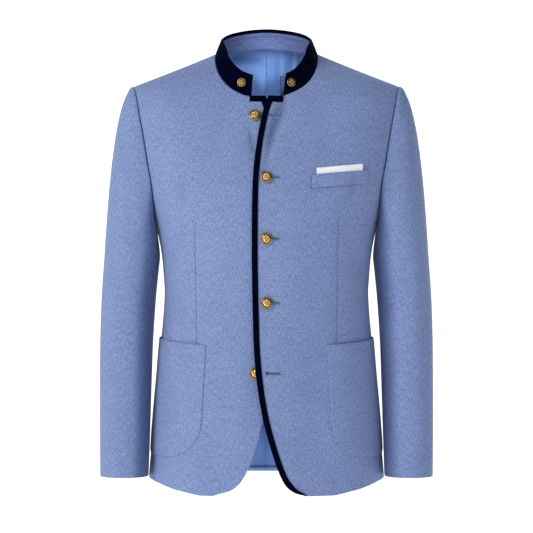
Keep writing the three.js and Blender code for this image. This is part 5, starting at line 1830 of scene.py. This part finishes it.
def button_piece(name, node, button, origin, axes, below):
    """A button from the top of its face over the rim to the end of its shank, as one closed grid of rings."""
    radius, dome = button["radius"], button["dome"]
    share = np.sin(np.linspace(0, np.pi / 2, BUTTON_RINGS)) ** 0.95
    turn = np.linspace(0, 2 * np.pi, BUTTON_TURNS, endpoint=False)
    share_grid, turn_grid = np.meshgrid(share[1:], turn, indexing="ij")
    relief = button_relief(share_grid, turn_grid, button) * radius / 10
    face_height = 1.7 + (dome - 1.9) * np.cos(share_grid * np.pi / 2) ** 0.75 + relief
    face = np.stack([radius * 0.975 * share_grid, face_height], -1)
    rim_turns = np.linspace(0.2, np.pi - 0.2, RIM_RINGS)[:, None] * np.ones(BUTTON_TURNS)
    rim = np.stack([radius - 0.55 + 0.55 * np.sin(rim_turns), 0.95 + 0.75 * np.cos(rim_turns)], -1)
    shank = button["shank"]
    profile = [(0.86 * radius, 0.1), (shank + 0.7, 0), (shank, -0.25), (shank, -below + 0.3),
               (shank - 0.3, -below)]
    under = np.broadcast_to(np.array(profile)[:, None], (len(profile), BUTTON_TURNS, 2))
    rings = np.concatenate([face, rim, under])
    turns = np.broadcast_to(turn, rings.shape[:2])
    flat = np.stack([rings[..., 0] * np.cos(turns), rings[..., 0] * np.sin(turns), rings[..., 1]], -1)
    top = np.array([[0, 0, face_height[0].mean()]])
    points = np.concatenate([flat.reshape(-1, 3), top, [[0, 0, -below]]]) @ axes + origin
    rows = len(rings)
    quads = tube_quads(rows, BUTTON_TURNS)
    first = np.arange(BUTTON_TURNS)
    tip = rows * BUTTON_TURNS
    fan = [(a, tip, b) for a, b in zip(first, np.roll(first, -1))]
    last = (rows - 1) * BUTTON_TURNS + first
    fan += [(b, tip + 1, a) for a, b in zip(last, np.roll(last, -1))]
    # The value depth sets the painted shade: the relief's height on the face, 0.3 on the rim, 0 on the back
    # and shank
    depth = np.concatenate([relief.ravel(), np.full(RIM_RINGS * BUTTON_TURNS, 0.3),
                            np.zeros(len(profile) * BUTTON_TURNS), [0.5, 0]])
    made = make_piece(name, points, quads, uv=points[:, [0, 2]], values={"depth": depth}, ends=fan)
    return dress(made, BRASS, node)


# %% Buttons down the front
SHANK_SHOWS = 1.8
for number, (out, z, fastened) in enumerate(BUTTONS, 1):
    origin, axes = front_axes(out, z, no_lift)
    rise = SHANK_SHOWS + (float(overlap_lift(np.array(out), np.array(z))) if fastened else 0)
    button_piece(f"front_button_{number}_gilt", f"front_button_{number}", FRONT_BUTTON,
                 origin + axes[2] * rise, axes, rise - 0.2)

# %% Buttons on the collar
COLLAR_BUTTON_OUT = 41.5
COLLAR_SHANK = SHANK_SHOWS * 0.7
right_end = COLLAR_LINE[:20 * FINE // 6]  # the stations that run outwards from the wearer's right end
spot = np.interp(COLLAR_BUTTON_OUT, -right_end[:, 0], np.arange(len(right_end)))
for hand, side in SIDES:
    i = int(round(float(spot)))
    up, out_of, base = COLLAR_UP[i].copy(), COLLAR_OUT[i].copy(), COLLAR_LINE[i].copy()
    middle = SEAM_GAP + 0.48 * COLLAR_HEIGHT * COLLAR_STRETCH[i]
    origin = base + up * middle + out_of * (COLLAR_ROUND + COLLAR_SHANK)
    for vector in (up, out_of, origin):
        vector[0] *= -side
    axes = np.stack([np.cross(up, out_of), up, out_of])
    button_piece(f"collar_button_{hand}_gilt", f"collar_button_{hand}", COLLAR_BUTTON, origin, axes,
                 COLLAR_SHANK)
print("buttons done")

# %% [markdown]
# ## Paper
# White paper lies a hand below the jacket and curves up far behind it.

# %% Ground and backdrop
PAPER_Z = -0.86
PAPER_HALF = 4.0


def paper():
    """A flat floor that turns up through a quarter circle into a wall."""
    turn = np.linspace(0, np.pi / 2, 12)
    curve = np.stack([2.4 + 0.9 * np.sin(turn), PAPER_Z + 0.9 * (1 - np.cos(turn))], -1)
    line = np.concatenate([[(-7.0, PAPER_Z)], curve, [(3.3, 3.2)]])
    across = np.array([-PAPER_HALF, PAPER_HALF])
    points = np.stack([
        np.tile(across, len(line)), np.repeat(line[:, 0], 2), np.repeat(line[:, 1], 2)
    ], -1)
    mesh = bpy.data.meshes.new("paper")
    mesh.from_pydata(points.tolist(), [], grid_quads(len(line), 2)[:, ::-1].tolist())
    mesh.polygons.foreach_set("use_smooth", np.ones(len(mesh.polygons), bool))
    ground = bpy.data.objects.new("paper", mesh)
    bpy.context.collection.objects.link(ground)
    mesh.materials.append(paper_material())


paper()

# %% Sizes and the end
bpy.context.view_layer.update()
meshes = [o for o in bpy.data.objects if o.type == "MESH" and "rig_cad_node" not in o]
faces = {o.name: len(o.data.polygons) for o in meshes}
print("faces in all:", sum(faces.values()), "largest:", max(faces, key=faces.get))
